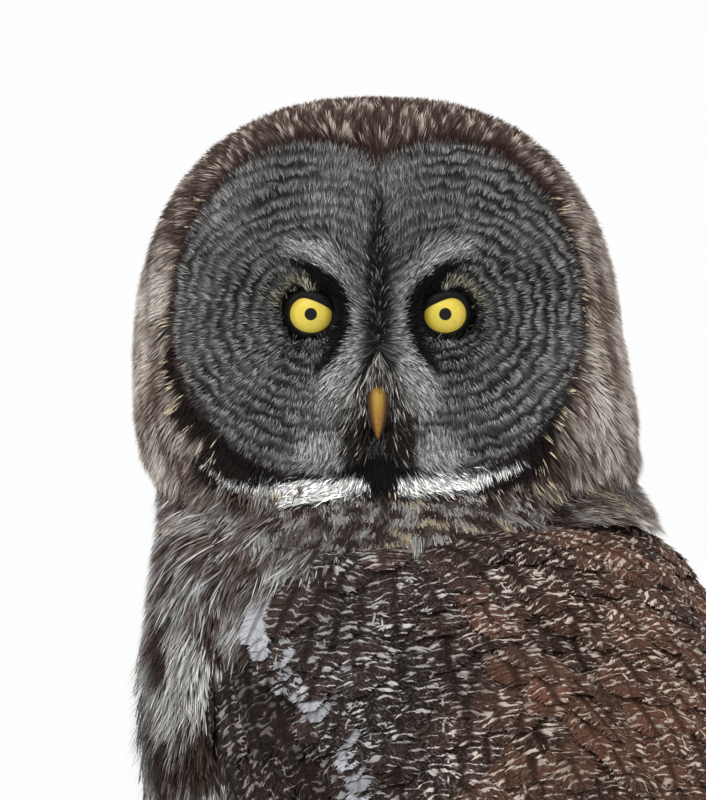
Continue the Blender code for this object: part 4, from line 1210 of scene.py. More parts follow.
head_draw = np.random.default_rng(21)
roots, outs, _ = scatter(carrier, head_spacing, 22)
number = len(roots)
right, rise, forward = face_places(roots)
behind = ease(-20.0, -70.0, forward)
low = ease(-5.0, -50.0, rise)
ways = flat_on(lie(roots, outs) + head_draw.normal(0.0, 0.13, roots.shape), outs)
ways = swirled(ways, outs, 0.38 * drift(roots, 0.0065, 13))
falls = ease(-56.0, -62.0, rise) * ease(66.0, 56.0, np.abs(right)) * (forward > -75.0)
ways = unit(mix(ways, hanging_way(roots, right, head_draw), falls))
lengths = HEAD_BARB + NAPE_BARB_MORE * behind + LOW_BARB_MORE * low
lengths = lengths * head_draw.uniform(0.7, 1.3, number)
widths = (HEAD_BARB_WIDTH + NAPE_WIDTH_MORE * behind) * head_draw.uniform(0.7, 1.3, number)
seen = roots + ways * (lengths * SEEN_AT)[:, None]
right, rise, forward = face_places(seen)
edge = disc_share(right, rise)
sides = ease(52.0, 80.0, np.abs(right)) * ease(35.0, 0.0, rise)
stretch = np.where((sides > 0.3)[:, None], np.array((1.0, 1.0, 0.45)), np.ones(3))
field = 0.45 * drift(seen * stretch, 0.0055, 12) + 0.58 * drift(seen * stretch, 0.0019, 19)
field = field + head_draw.normal(0.0, 0.22, number) - 0.15
ground = mix(ground_colour(roots), SIDE_GREY, 0.90 * sides)
lit_side = ease(55.0, 80.0, right) * ease(-48.0, -32.0, rise)
ground = mix(ground, LIT_GREY, 0.55 * lit_side)
dark = mix(mix(HEAD_DARK, SIDE_DARK, sides), LIT_DARK, 0.6 * lit_side)
pale = mix(HEAD_PALE, SIDE_PALE, sides)
field = field + sides * (0.10 + 0.35 * drift(seen * stretch, 0.0085, 16))
colour = mottled(ground, pale, dark, field, DARK_PATCHES, PALE_PATCHES)
turn = np.degrees(np.arctan2(rise, beside_eye(right)))
turn = np.where(right < 0, 180.0 - turn, turn)
turn = (turn + 180.0) % 360.0 - 180.0
broad = np.interp(turn, RIM_TURNS, RIM_BROADS)
past_rim = edge - 1.0 - broad * (1.0 + 0.3 * drift(seen, 0.008, 27))
past_rim = past_rim + head_draw.normal(0.0, 0.006, number)
in_rim = ease(0.012, -0.012, past_rim) * (forward > -42.0)
rim_colour = mix(RIM_BROWN, RIM_BLACK, ease(0.3, -0.3, rise / 60.0 + 0.3 * drift(seen, 0.006, 28)))
colour = mix(colour, rim_colour * head_draw.uniform(0.7, 1.3, (number, 1)), in_rim)
fleck_row = ease(60.0, 68.0, right) * ease(-48.0, -40.0, rise)
flecks = drift(seen, 0.0019, 29) > 0.16 - 0.14 * fleck_row
flecks &= (np.abs(past_rim) < 0.022 + 0.006 * fleck_row) & (rise < 40.0) & (forward > -42.0)
flecks &= head_draw.random(number) < 0.8
lengths = np.where(flecks, lengths * 0.6, lengths)
colour = np.where(flecks[:, None], FLECK_BUFF * head_draw.uniform(0.7, 1.15, (number, 1)), colour)
lines = straight(roots, outs, ways, lengths, 3)
for label, where in (("front", forward > NAPE_BEHIND), ("nape", forward <= NAPE_BEHIND)):
    picked = [part[where] for part in lines]
    tips = head_draw.uniform(0.0002, 0.0013, where.sum()) + 0.0015 * flecks[where]
    part = part_of(fine_blade, picked, widths[where], HEAD_SINK, tips, 0.0, roots[where],
                   {"tint": colour[where]}, head_draw)
    coat_piece(f"head_feathers_{label}", [part], strand)


# The neck. Loose barbs in locks round the collar, buff and cream below the chin, grey and white to
# the right, and long hair-like grey-white ones on the left that sweep down and outwards over brown.
COLLAR_BUFF = tone(190, 176, 150)
COLLAR_GREY = tone(176, 175, 173)
NECK_BROWN = tone(92, 76, 69)
NECK_LEFT_GREY = tone(172, 172, 172)
NECK_SIDE_GREY = tone(124, 113, 106)
FLYAWAY_WHITE = tone(208, 208, 206)
FLYAWAYS = 0.02
FLYAWAY_LONGER = 1.7
NECK_SPACING = 0.00108
NECK_TOP = 0.336
NECK_FOOT_BEHIND = 0.296
NECK_BARB = 0.0078
NECK_LEFT_MORE = 0.0022
NECK_BARB_WIDTH = 0.00052
NECK_SINK = 0.0026
NECK_PALE_PATCHES = 0.36
COLLAR_HANGS_FROM = 0.304
COLLAR_PLACES = (-85.0, -62.0, -46.0, -34.0, -10.0, 30.0, 65.0, 85.0)
COLLAR_FEET = (0.272, 0.274, 0.276, 0.294, 0.312, 0.3165, 0.3215, 0.3270)


def collar_foot(right):
    """How low the collar's loose coat reaches, in metres, across the picture."""
    return np.interp(right, COLLAR_PLACES, COLLAR_FEET)


def over_back(normals, right):
    """Where the coat belongs to the back: what the camera sees, and on round the right shoulder."""
    return dots(normals, facing) > np.where(right > 40.0, -0.62, -0.2)


def neck_spacing(points, normals):
    """How far apart barbs stand from the collar's foot up to the head, or 0 elsewhere."""
    right, _, _ = face_places(points)
    foot = np.where(over_back(normals, right), collar_foot(right), NECK_FOOT_BEHIND)
    wanted = (points[:, 2] > foot) & (points[:, 2] < NECK_TOP)
    return np.where(wanted, NECK_SPACING, 0.0)


def trace(form, roots, ways, lengths, stations, turn=0.0):
    """Centrelines from the roots over the form: places, ways out and ways along, station by station."""
    points, normals = form.settle(roots)
    along = flat_on(ways, normals)
    lines, ups, alongs = [points], [normals], [along]
    for _ in range(stations - 1):
        points, normals = form.settle(points + along * (lengths / (stations - 1))[:, None])
        along = flat_on(along + turn * lie(points, normals), normals)
        lines.append(points)
        ups.append(normals)
        alongs.append(along)
    return np.stack(lines, 1), np.stack(ups, 1), np.stack(alongs, 1)


neck_draw = np.random.default_rng(31)
roots, outs, _ = scatter(carrier, neck_spacing, 32)
number = len(roots)
right, rise, forward = face_places(roots)
ways = flat_on(lie(roots, outs) + neck_draw.normal(0.0, 0.12, roots.shape), outs)
ways = swirled(ways, outs, 0.45 * drift(roots, 0.009, 15))
lengths = NECK_BARB + NECK_LEFT_MORE * ease(-10.0, -60.0, right)
lengths = lengths * neck_draw.uniform(0.7, 1.3, number)
flyaway = (neck_draw.random(number) < FLYAWAYS) & (right < -30.0)
lengths = np.where(flyaway, lengths * FLYAWAY_LONGER, lengths)
widths = NECK_BARB_WIDTH * neck_draw.uniform(0.65, 1.35, number)
seen = roots + ways * (lengths * SEEN_AT)[:, None]
right, rise, forward = face_places(seen)
left_part = ease(-5.0, -50.0, right)
stretch = np.array((1.0, 1.0, 0.7))
field = 0.60 * drift(seen * stretch, 0.0072, 14) + 0.60 * drift(seen, 0.0028, 34)
field = field + neck_draw.normal(0.0, 0.20, number)
collar = ease(-92.0, -80.0, rise) * ease(-50.0, -10.0, right) * ease(95.0, 60.0, right)
lobes = 1.1 * drift(seen * np.array((1.0, 1.0, 1.4)), 0.0046, 37) + neck_draw.normal(0.0, 0.14, number)
field = blend(field, lobes, collar)
light = mix(COLLAR_GREY, COLLAR_BUFF, ease(-0.05, 0.4, drift(seen, 0.013, 35)))
light = mix(light, NECK_LEFT_GREY, left_part)
upper = ease(0.298, 0.322, roots[:, 2])
ground = mix(ground_colour(roots), NECK_BROWN, 0.6 * left_part)
ground = mix(ground, NECK_SIDE_GREY, 0.75 * upper * ease(20.0, 60.0, np.abs(right)))
field = field - 0.02 * collar + 0.02 * left_part
colour = mottled(ground, light, HEAD_DARK, field, DARK_PATCHES, NECK_PALE_PATCHES)
colour = np.where(flyaway[:, None], FLYAWAY_WHITE, colour)
lines = trace(carrier, roots, ways, lengths, 3, 0.25)
hanging = hanging_way(roots, right, neck_draw)
loose = straight(roots, facing + np.zeros_like(roots), hanging, lengths * 0.85, 3)
in_collar = (roots[:, 2] > COLLAR_HANGS_FROM) & (np.abs(right) < 62.0) & (forward > -80.0)
lines = tuple(np.where(in_collar[:, None, None], free, laid) for free, laid in zip(loose, lines))
tips = neck_draw.uniform(0.0003, 0.0022, number) + 0.002 * flyaway
part = part_of(long_blade, lines, widths, NECK_SINK, tips, 0.0, roots, {"tint": colour}, neck_draw)
coat_piece("neck_feathers", [part], strand)


# The mantle and scapulars. Broad soft-edged feathers over the back and the wings' roots, chocolate
# brown with broken grey-white bars, and a smoother row, part blue-grey, along the scapulars' edge.
BROAD_OUTLINE = ((0.0, 0.4), (0.2, 0.8), (0.5, 1.0), (0.78, 0.95), (0.92, 0.68), (1.0, 0.25))
MANTLE_TOP = 0.331
MANTLE_FOOT = 0.128
SCAPULAR_LIFT = 0.0034
EDGE_HEIGHTS = (0.12, 0.16, 0.20, 0.226, 0.238, 0.262, 0.275, 0.287, 0.300, 0.32)
EDGE_ANGLES = (76.0, 62.0, 45.0, 27.0, 20.0, 17.0, 14.0, 8.0, 3.0, -2.0)
EDGE_STEP = 0.0037
EDGE_TOP = 0.304
EDGE_FOOT = 0.212
EDGE_OUTSIDE = 0.12
MANTLE_SPACING = 0.0077
MANTLE_LENGTH = 0.027
LOW_MANTLE_MORE = 0.008
EDGE_LENGTH = 0.019
MANTLE_WIDTH = 0.0205
EDGE_WIDTH = 0.0135
BAR_PITCH = 0.0031
MANTLE_SINK = 0.0035
BROAD_SHAPES = 4
EDGE_BLUE_GREY = tone(158, 158, 163)
BAR_GREY = tone(172, 172, 173)
BAR_WARM_LIT = tone(192, 177, 164)


def spread(form, spacing_of, seed, density):
    """Places spread evenly over a form, none nearer the next than the asked spacing."""
    places, normals, reach = scatter(form, spacing_of, seed, density)
    cell = float(reach.max())
    taken = {}
    kept = []
    around = [(a, b, c) for a in (-1, 0, 1) for b in (-1, 0, 1) for c in (-1, 0, 1)]
    for i, (place, near) in enumerate(zip(places.tolist(), reach.tolist())):
        key = (int(place[0] // cell), int(place[1] // cell), int(place[2] // cell))
        crowded = any(
            (x - place[0]) ** 2 + (y - place[1]) ** 2 + (z - place[2]) ** 2 < near * near
            for a, b, c in around
            for x, y, z in taken.get((key[0] + a, key[1] + b, key[2] + c), ())
        )
        if not crowded:
            taken.setdefault(key, []).append(tuple(place))
            kept.append(i)
    return places[kept], normals[kept]


# A feather's shape, along in shares of its length and across in shares of its half width.
WEB_RUNGS = 6
WEB_END = 0.97
WEB_DROOP = -0.010
BARB_THICK = 0.72
BARB_FIRST = 0.02
BARB_SPAN = 0.90
BARB_BEND_OUT = 0.55
BARB_BEND_ALONG = 0.42
BARB_NARROWING = 0.9
SHAFT_HALF = 0.02


def barbed_shape(barbs, web, outline, seed, ragged=0.12, sweep=0.20):
    """A feather: a web down its middle and, on both sides, barbs from the shaft to its outline."""
    draw = np.random.default_rng(seed)
    along_of, half_of = np.array(outline).T
    places, faces = [], []
    for i, along in enumerate(np.linspace(0.0, WEB_END, WEB_RUNGS)):
        half = np.interp(along, along_of, half_of) * web
        places += [(-half, along, WEB_DROOP), (0.0, along, 0.0), (half, along, WEB_DROOP)]
        if i:
            a = 3 * i - 3
            faces += [(a, a + 1, a + 4), (a, a + 4, a + 3), (a + 1, a + 2, a + 5), (a + 1, a + 5, a + 4)]
    thick = BARB_THICK / barbs
    for side in (-1.0, 1.0):
        for i in range(barbs):
            t = (i + 0.5) / barbs
            start = BARB_FIRST + BARB_SPAN * t
            end = min(start + sweep * (1.0 - 0.55 * t) + draw.uniform(-0.02, 0.02), 1.0)
            reach = np.interp(end, along_of, half_of) * (1.0 + draw.uniform(-ragged, ragged))
            lift = draw.uniform(-0.014, 0.022)
            bend = start + (end - start) * BARB_BEND_ALONG
            bend_out = side * reach * BARB_BEND_OUT
            base = len(places)
            places += [
                (SHAFT_HALF * side, start - thick, lift * 0.3),
                (SHAFT_HALF * side, start + thick, lift * 0.3),
                (bend_out, bend - thick * BARB_NARROWING, lift * 0.8),
                (bend_out, bend + thick * BARB_NARROWING, lift * 0.8),
                (side * reach, end, lift),
            ]
            faces += [(base, base + 2, base + 3), (base, base + 3, base + 1), (base + 2, base + 4, base + 3)]
    return np.array(places), np.array(faces)


def side_angle(points):
    """Degrees from the nearer side, towards the back, on either half of the body."""
    angle = body_angle(points)
    return np.where(angle > 90.0, 180.0 - angle, angle)


def past_scapulars(points):
    """Degrees in from the scapulars' edge, towards the spine, on either side."""
    return side_angle(points) - np.interp(points[..., 2], EDGE_HEIGHTS, EDGE_ANGLES)


def mantle_spacing(points, normals):
    """How far apart feathers stand between the scapulars' edges, below the collar, or 0 elsewhere."""
    right, _, _ = face_places(points)
    top = np.where(over_back(normals, right), collar_foot(right) + 0.004, 0.300)
    wanted = (past_scapulars(points) > 2.0) & (np.abs(body_angle(points) - 90.0) < 100.0)
    wanted &= (points[:, 2] > MANTLE_FOOT) & (points[:, 2] < np.minimum(top, MANTLE_TOP))
    return np.where(wanted, MANTLE_SPACING, 0.0)


# How feathers' marks are laid, in shares of a feather's half width and length. Each feather's own lot
# seats it elsewhere in the noise, so that no two are marked alike.
BARB_SLOPE = -0.32
LOT_SEATS = 60.0
BARB_LINES = 52.0
BAR_BOW = -0.4
BAR_SWAY = 2.1
BAR_JAG = 0.36
BAR_BREADTH = 0.85
BAR_EDGES = (0.79, 0.87)
UNBARRED_RIM = (0.44, 0.62)
EDGING_AT = 0.62
EDGING_EDGES = (0.015, 0.045)
EDGING_PARTS = (0.60, 0.64)
FINE_MARKS = (0.52, 0.70)
FINE_STRENGTH = 0.20

bars_group, taken, given = new_group("broken bars", ("Across", "Along", "Lot", "Count"), ("Mask",))
reckon = partial(calculate, bars_group)
noise_at = partial(speckle, bars_group)
step_up = partial(between, bars_group)
fold = reckon("ABSOLUTE", taken["Across"])
seat = reckon("MULTIPLY", taken["Lot"], LOT_SEATS)
steps = reckon("MULTIPLY", taken["Along"], taken["Count"])
barb_seat = reckon("MULTIPLY", reckon("MULTIPLY_ADD", fold, BARB_SLOPE, taken["Along"]), BARB_LINES)
jag = noise_at(barb_seat, reckon("MULTIPLY", taken["Across"], 0.6), seat, 0.0)
sway = noise_at(reckon("MULTIPLY", taken["Across"], 1.3), steps, seat)
phase = reckon("MULTIPLY_ADD", fold, BAR_BOW, steps)
phase = reckon("MULTIPLY_ADD", sway, BAR_SWAY, phase)
phase = reckon("MULTIPLY_ADD", jag, BAR_JAG, phase)
ripple = reckon("PINGPONG", reckon("ADD", phase, seat), 0.5)
breadth = noise_at(reckon("MULTIPLY", taken["Across"], 1.6), reckon("MULTIPLY", steps, 0.8),
                   reckon("ADD", seat, 31.0))
bar = step_up(reckon("MULTIPLY_ADD", breadth, BAR_BREADTH, ripple), *BAR_EDGES)
bar = reckon("MULTIPLY", bar, step_up(reckon("MULTIPLY_ADD", sway, 0.8, fold), *UNBARRED_RIM))
edge_lot = noise_at(reckon("MULTIPLY", steps, 0.45), reckon("SIGN", taken["Across"]),
                    reckon("ADD", seat, 77.0))
edge_line = reckon("SUBTRACT", reckon("MULTIPLY_ADD", taken["Along"], 0.22, fold), EDGING_AT)
edge_line = reckon("SUBTRACT", 1.0, step_up(reckon("ABSOLUTE", edge_line), *EDGING_EDGES))
edging = reckon("MULTIPLY", step_up(edge_lot, *EDGING_PARTS), edge_line)
fine = noise_at(barb_seat, reckon("MULTIPLY", taken["Across"], 7.0), reckon("ADD", seat, 11.0))
fine = reckon("MULTIPLY", step_up(fine, *FINE_MARKS), FINE_STRENGTH)
bars_group.links.new(reckon("MAXIMUM", reckon("MAXIMUM", bar, edging), fine), given["Mask"])

barbs_group, taken, given = new_group("barb lines", ("Across", "Along", "Lot", "Barbs"), ("Value",))
reckon = partial(calculate, barbs_group)
slope = reckon("MULTIPLY_ADD", reckon("ABSOLUTE", taken["Across"]), BARB_SLOPE, taken["Along"])
barb_lines = speckle(barbs_group, reckon("MULTIPLY", slope, taken["Barbs"]),
                     reckon("MULTIPLY", taken["Across"], 1.2), reckon("MULTIPLY", taken["Lot"], 80.0))
barbs_group.links.new(barb_lines, given["Value"])


FEATHER_SPECULAR = 0.08
SHAFT_STAIN = (0.22, 0.20, 0.19, 1.0)
SHAFT_EDGES = (0.14, 0.30)
BARB_RELIEF = 0.35
BARB_HEIGHT = 0.0004


def feather_material(name, roughness, barbs, depth):
    """Ground colour, pale broken bars, a dark shaft streak, and fine barb lines in tone and relief."""
    made = plain_material(name, MANTLE_LEFT, roughness, FEATHER_SPECULAR)
    tree = made.node_tree
    reckon = partial(calculate, tree)
    across, along = vane_sockets(tree)
    lot = attribute_in(tree, "lot").outputs["Fac"]
    bars, streak, count = marks_in(tree)
    bar_mask = group_in(tree, bars_group, Across=across, Along=along, Lot=lot, Count=count)
    barred = blended(tree, reckon("MULTIPLY", bar_mask, bars), attribute_in(tree, "tint").outputs["Color"],
                     attribute_in(tree, "pale").outputs["Color"])
    from_shaft = reckon("MULTIPLY_ADD", along, 0.10, reckon("ABSOLUTE", across))
    shaft = reckon("SUBTRACT", 1.0, between(tree, from_shaft, *SHAFT_EDGES))
    streaked = blended(tree, reckon("MULTIPLY", shaft, streak), barred, SHAFT_STAIN, "MULTIPLY")
    grain = group_in(tree, barbs_group, Across=across, Along=along, Lot=lot, Barbs=barbs)
    light = reckon("MULTIPLY_ADD", grain, depth, 1.0 - depth / 2)
    light_up(tree, streaked, reckon("MULTIPLY", light, reckon("MULTIPLY_ADD", lot, 0.3, 0.85)))
    bump = tree.nodes.new("ShaderNodeBump")
    bump.inputs["Strength"].default_value = BARB_RELIEF
    bump.inputs["Distance"].default_value = BARB_HEIGHT
    tree.links.new(grain, bump.inputs["Height"])
    tree.links.new(bump.outputs[0], tree.nodes["Principled BSDF"].inputs["Normal"])
    return made


vaned_feather = feather_material("vaned feather", 0.75, 62.0, 1.2)

mantle_form = Carrier(FLESH + WINGS, CARRIER_CELL * 1.5, 14)
mantle_draw = np.random.default_rng(41)
roots, outs = spread(mantle_form, mantle_spacing, 42, 10.0)
edge_z = np.tile(np.arange(EDGE_TOP, EDGE_FOOT, -EDGE_STEP), 2)
edge_angle = np.radians(np.interp(edge_z, EDGE_HEIGHTS, EDGE_ANGLES) + 3.0)
edge_sign = np.repeat((1.0, -1.0), len(edge_z) // 2)
edge_start = np.column_stack((
    EDGE_OUTSIDE * edge_sign * np.cos(edge_angle),
    HEAD_AXIS_Y + np.interp(edge_z, BODY_HEIGHTS, BODY_MIDDLES) + EDGE_OUTSIDE * np.sin(edge_angle),
    edge_z,
))
edge_roots, edge_outs = mantle_form.settle(edge_start)
edge_row = np.arange(len(roots) + len(edge_z)) >= len(roots)
roots = np.concatenate((roots, edge_roots))
outs = np.concatenate((outs, edge_outs))
number = len(roots)
height = roots[:, 2]
right, _, _ = face_places(roots)
ways = flat_on(lie(roots, outs) + mantle_draw.normal(0.0, 0.11, roots.shape), outs)
lengths = MANTLE_LENGTH + LOW_MANTLE_MORE * ease(0.300, 0.24, height)
lengths = np.where(edge_row, EDGE_LENGTH, lengths * mantle_draw.uniform(0.85, 1.15, number))
widths = np.where(edge_row, EDGE_WIDTH, MANTLE_WIDTH) * mantle_draw.uniform(0.85, 1.15, number)
cloud = drift(roots, 0.020, 43)[:, None]
# Warmer and lighter towards the picture's right: painted warm light.
colour = mix(MANTLE_LEFT, MANTLE_WARM_LIT, ease(0.0, 95.0, right + 25.0 * cloud[:, 0]))
colour = colour * (1.0 + 0.30 * cloud) * mantle_draw.uniform(0.7, 1.25, (number, 1))
blue_part = edge_row & ((height > 0.268) | ((height > 0.238) & (height < 0.260)) | (height < 0.228))
blue_grey = EDGE_BLUE_GREY * mantle_draw.uniform(0.75, 1.15, (number, 1))
colour = np.where(blue_part[:, None], blue_grey, colour)
# Pale bars going buff towards the picture's right: painted warm light.
pale = mix(BAR_GREY, BAR_WARM_LIT, ease(-20.0, 50.0, right))
patches = 0.26 * drift(roots, 0.014, 45)
bars = mantle_draw.uniform(0.50, 1.05, number) + patches + 0.12 * ease(-45.0, 10.0, right)
bars = np.clip(bars, 0.45, 1.0)
bars = np.where(blue_part, 0.6, bars)
counts = lengths / BAR_PITCH
lines = trace(mantle_form, roots, ways, lengths, 5, 0.15)
raised = SCAPULAR_LIFT * ease(34.0, 12.0, past_scapulars(roots)) * ease(0.14, 0.18, height) + 0.0008
broad_shapes = [barbed_shape(24, 0.84, BROAD_OUTLINE, 60 + k, 0.10, 0.20) for k in range(BROAD_SHAPES)]
for label, where in (("left", roots[:, 0] > 0), ("right", roots[:, 0] <= 0)):
    parts = []
    for k, shape in enumerate(broad_shapes):
        chosen = where & (np.arange(number) % BROAD_SHAPES == k)
        traits = {"tint": colour[chosen], "pale": pale[chosen], "bars": bars[chosen],
                  "streak": mantle_draw.uniform(0.2, 0.8, chosen.sum()), "count": counts[chosen]}
        picked = [part[chosen] for part in lines]
        lifted = raised[chosen]
        parts.append(part_of(shape, picked, widths[chosen], MANTLE_SINK - lifted * 0.7,
                             lifted + mantle_draw.uniform(0.0001, 0.0009, chosen.sum()), 0.05,
                             roots[chosen], traits, mantle_draw))
    coat_piece(f"mantle_feathers_{label}", parts, vaned_feather)


# The breast, belly and flanks. Loose, deep, grey feathers with dark shaft streaks, which fluff out
# over the wings' front edges in cream-white tufts.
WING_FRONT_HEIGHTS = (0.062, 0.125, 0.187, 0.250, 0.312)
WING_FRONT_ANGLES = (52.0, 18.0, -15.0, -23.0, -20.0)
BREAST_FOOT = 0.118
BREAST_TOP = 0.300
BREAST_SPACING = 0.0064
BREAST_LENGTH = 0.027
BREAST_WIDTH = 0.0115
BREAST_SINK = 0.004
SOFT_SHAPES = 4
LONG_OUTLINE = ((0.0, 0.3), (0.3, 0.75), (0.6, 1.0), (0.85, 0.8), (1.0, 0.2))
BREAST_MID = tone(128, 121, 115)
BREAST_PALE = tone(188, 184, 178)
BREAST_DARK = tone(84, 70, 62)
SOFT_WHITE = tone(226, 222, 216)
FLANK_DARK = tone(66, 49, 42)
FLANK_WHITE = tone(214, 212, 208)
FLANK_SPACING = 0.00095
FLANK_LENGTH = 0.0125
FLANK_SINK = 0.001


def wing_front(height):
    """Where the folded wing's front edge lies: degrees round the body at a height."""
    return np.interp(height, WING_FRONT_HEIGHTS, WING_FRONT_ANGLES)


def breast_spacing(points, normals):
    """How far apart feathers stand on the breast, on the belly and under the tail, or 0 elsewhere."""
    round_side = side_angle(points)
    height = points[:, 2]
    front = (round_side < wing_front(height) + 4.0) | (np.abs(body_angle(points) - 90.0) > 114.0)
    under = (height < 0.150) & (round_side > 75.0)
    wanted = (front | under) & (height > BREAST_FOOT) & (height < BREAST_TOP)
    return np.where(wanted, BREAST_SPACING, 0.0)


soft_feather = feather_material("soft feather", 0.85, 34.0, 1.9)
breast_draw = np.random.default_rng(51)
roots, outs = spread(carrier, breast_spacing, 52, 6.0)
number = len(roots)
by_wing = ease(26.0, 4.0, np.abs(side_angle(roots) - wing_front(roots[:, 2]) + 8.0))
ways = flat_on(lie(roots, outs) + breast_draw.normal(0.0, 0.16, roots.shape), outs)
lengths = BREAST_LENGTH * breast_draw.uniform(0.8, 1.2, number)
widths = BREAST_WIDTH * breast_draw.uniform(0.8, 1.2, number)
mottle = drift(roots * np.array((1, 1, 0.5)), 0.013, 24) + 0.5 * breast_draw.normal(0.0, 0.6, number)
colour = mix(BREAST_MID, BREAST_PALE, ease(-0.4, 0.9, mottle))
colour = mix(colour, BREAST_DARK, ease(-0.2, -1.0, mottle) * (0.55 + 0.3 * by_wing))
lines = trace(carrier, roots, ways, lengths, 5, 0.1)
parts = []
for k in range(SOFT_SHAPES):
    chosen = np.arange(number) % SOFT_SHAPES == k
    traits = {"tint": colour[chosen], "pale": SOFT_WHITE, "bars": 0.4,
              "streak": breast_draw.uniform(0.3, 1.0, chosen.sum()), "count": 2.4}
    shape = barbed_shape(16, 0.35, LONG_OUTLINE, 70 + k, 0.35, 0.34)
    picked = [part[chosen] for part in lines]
    parts.append(part_of(shape, picked, widths[chosen], BREAST_SINK,
                         breast_draw.uniform(0.0006, 0.0030, chosen.sum()), 0.10,
                         roots[chosen], traits, breast_draw))
coat_piece("breast_feathers", parts, soft_feather)


def flank_spacing(points, normals):
    """How far apart barbs stand in a strip at the wing's front edge, or 0 elsewhere."""
    height = points[:, 2]
    ahead = wing_front(height) - side_angle(points)
    wanted = (ahead > -3.5) & (ahead < 27.0 - 9.0 * ease(0.25, 0.29, height)) & (height > 0.165)
    wanted &= height < 0.290 - 0.00003 * (ahead - 14.0) ** 2
    return np.where(wanted, FLANK_SPACING, 0.0)


roots, outs, _ = scatter(carrier, flank_spacing, 53)
number = len(roots)
clump = drift(roots, 0.012, 25)
spine_way = np.column_stack((-(roots[:, 1] - HEAD_AXIS_Y - 0.04), np.abs(roots[:, 0]), np.zeros(number)))
spine_way[:, 0] *= np.sign(roots[:, 0])
ways = flat_on(lie(roots, outs) + (0.18 + 0.30 * clump)[:, None] * unit(spine_way)
               + breast_draw.normal(0.0, 0.11, roots.shape), outs)
right, rise, _ = face_places(roots)
over_wing = ease(-68.0, -58.0, right) * ease(-100.0, -112.0, rise)
ways = unit(ways + image_right * (0.55 * over_wing)[:, None])
lengths = FLANK_LENGTH * breast_draw.uniform(0.6, 1.35, number)
seen = roots + ways * (lengths * SEEN_AT)[:, None]
stretched = seen * np.array((1, 1, 0.6))
mottle = 0.8 * drift(stretched, 0.010, 26) + 0.5 * drift(stretched, 0.0036, 27)
right, rise, _ = face_places(seen)
mottle += 0.45 * ease(1.3, 0.5, np.hypot((right + 70.0) / 13.0, (rise + 122.0) / 26.0))
mottle -= 0.80 * ease(1.3, 0.5, np.hypot((right + 74.5) / 4.0, (rise + 122.0) / 14.0))
mottle += 0.22 * breast_draw.normal(0.0, 1.0, number) - 0.06
colour = mix(FLANK_DARK, FLANK_WHITE, ease(-0.30, 0.42, mottle))
colour = colour * breast_draw.uniform(0.55, 1.1, (number, 1))
lines = trace(carrier, roots, ways, lengths, 4, 0.2)
part = part_of(long_blade, lines, breast_draw.uniform(0.35, 0.75, number) / 1000.0, FLANK_SINK,
               breast_draw.uniform(0.0015, 0.0075, number), 0.0, roots, {"tint": colour}, breast_draw)
coat_piece("flank_tufts", [part], strand)


# The legs and feet. Short dense pale feathers that lie down the legs and out over the toes to the
# claws, small and close on the toes and longer up the leg. None goes below the floor.
LEG_TOP = 0.122
LEG_BEHIND = 0.03
TOE_SPACING = 0.0026
LEG_SPACING_MORE = 0.0022
TOE_LENGTH = 0.0055
LEG_LENGTH_MORE = 0.010
TOE_WIDTH = 0.0022
LEG_WIDTH_MORE = 0.0030
LEG_SINK = 0.0012
FOOT_X = 0.043
FOOT_Y = -0.059
LEG_DARKER = tone(160, 156, 150)
LEG_PALER = tone(206, 202, 196)
LOWEST_FEATHER = 0.0004


def leg_spacing(points, normals):
    """How far apart feathers stand on the legs and feet, or 0 elsewhere."""
    height = points[:, 2]
    wanted = (height < LEG_TOP) & (height > 0.001) & (points[:, 1] < LEG_BEHIND)
    return np.where(wanted, TOE_SPACING + LEG_SPACING_MORE * ease(0.03, 0.10, height), 0.0)


leg_form = Carrier(("torso", "leg_left", "leg_right", "foot_left", "foot_right"), 0.0022, 3)
leg_draw = np.random.default_rng(61)
roots, outs = spread(leg_form, leg_spacing, 62, 6.0)
number = len(roots)
on_foot = ease(0.036, 0.024, roots[:, 2])
toe_out = unit(np.column_stack((roots[:, 0] - np.sign(roots[:, 0]) * FOOT_X, roots[:, 1] - FOOT_Y,
                                np.full(number, -0.008))))
ways = mix(np.array((0.0, 0.05, -1.0)) + np.zeros_like(roots), toe_out, on_foot)
ways = flat_on(ways + leg_draw.normal(0.0, 0.2, roots.shape), outs)
up_leg = ease(0.03, 0.09, roots[:, 2])
lengths = (TOE_LENGTH + LEG_LENGTH_MORE * up_leg) * leg_draw.uniform(0.8, 1.2, number)
widths = (TOE_WIDTH + LEG_WIDTH_MORE * up_leg) * leg_draw.uniform(0.8, 1.2, number)
lines = straight(roots, outs, ways, lengths, 3)
tips = leg_draw.uniform(0.0002, 0.0012, number)
traits = {"tint": mix(LEG_DARKER, LEG_PALER, leg_draw.random(number)), "pale": SOFT_WHITE,
          "bars": 0.3, "streak": 0.4, "count": 1.5}
tufts = part_of(barbed_shape(4, 0.5, LONG_OUTLINE, 80, 0.3, 0.3), lines, widths, LEG_SINK, tips, 0.1,
                roots, traits, leg_draw)
tufts["places"][..., 2] = np.maximum(tufts["places"][..., 2], LOWEST_FEATHER)
coat_piece("leg_feathers", [tufts], soft_feather)


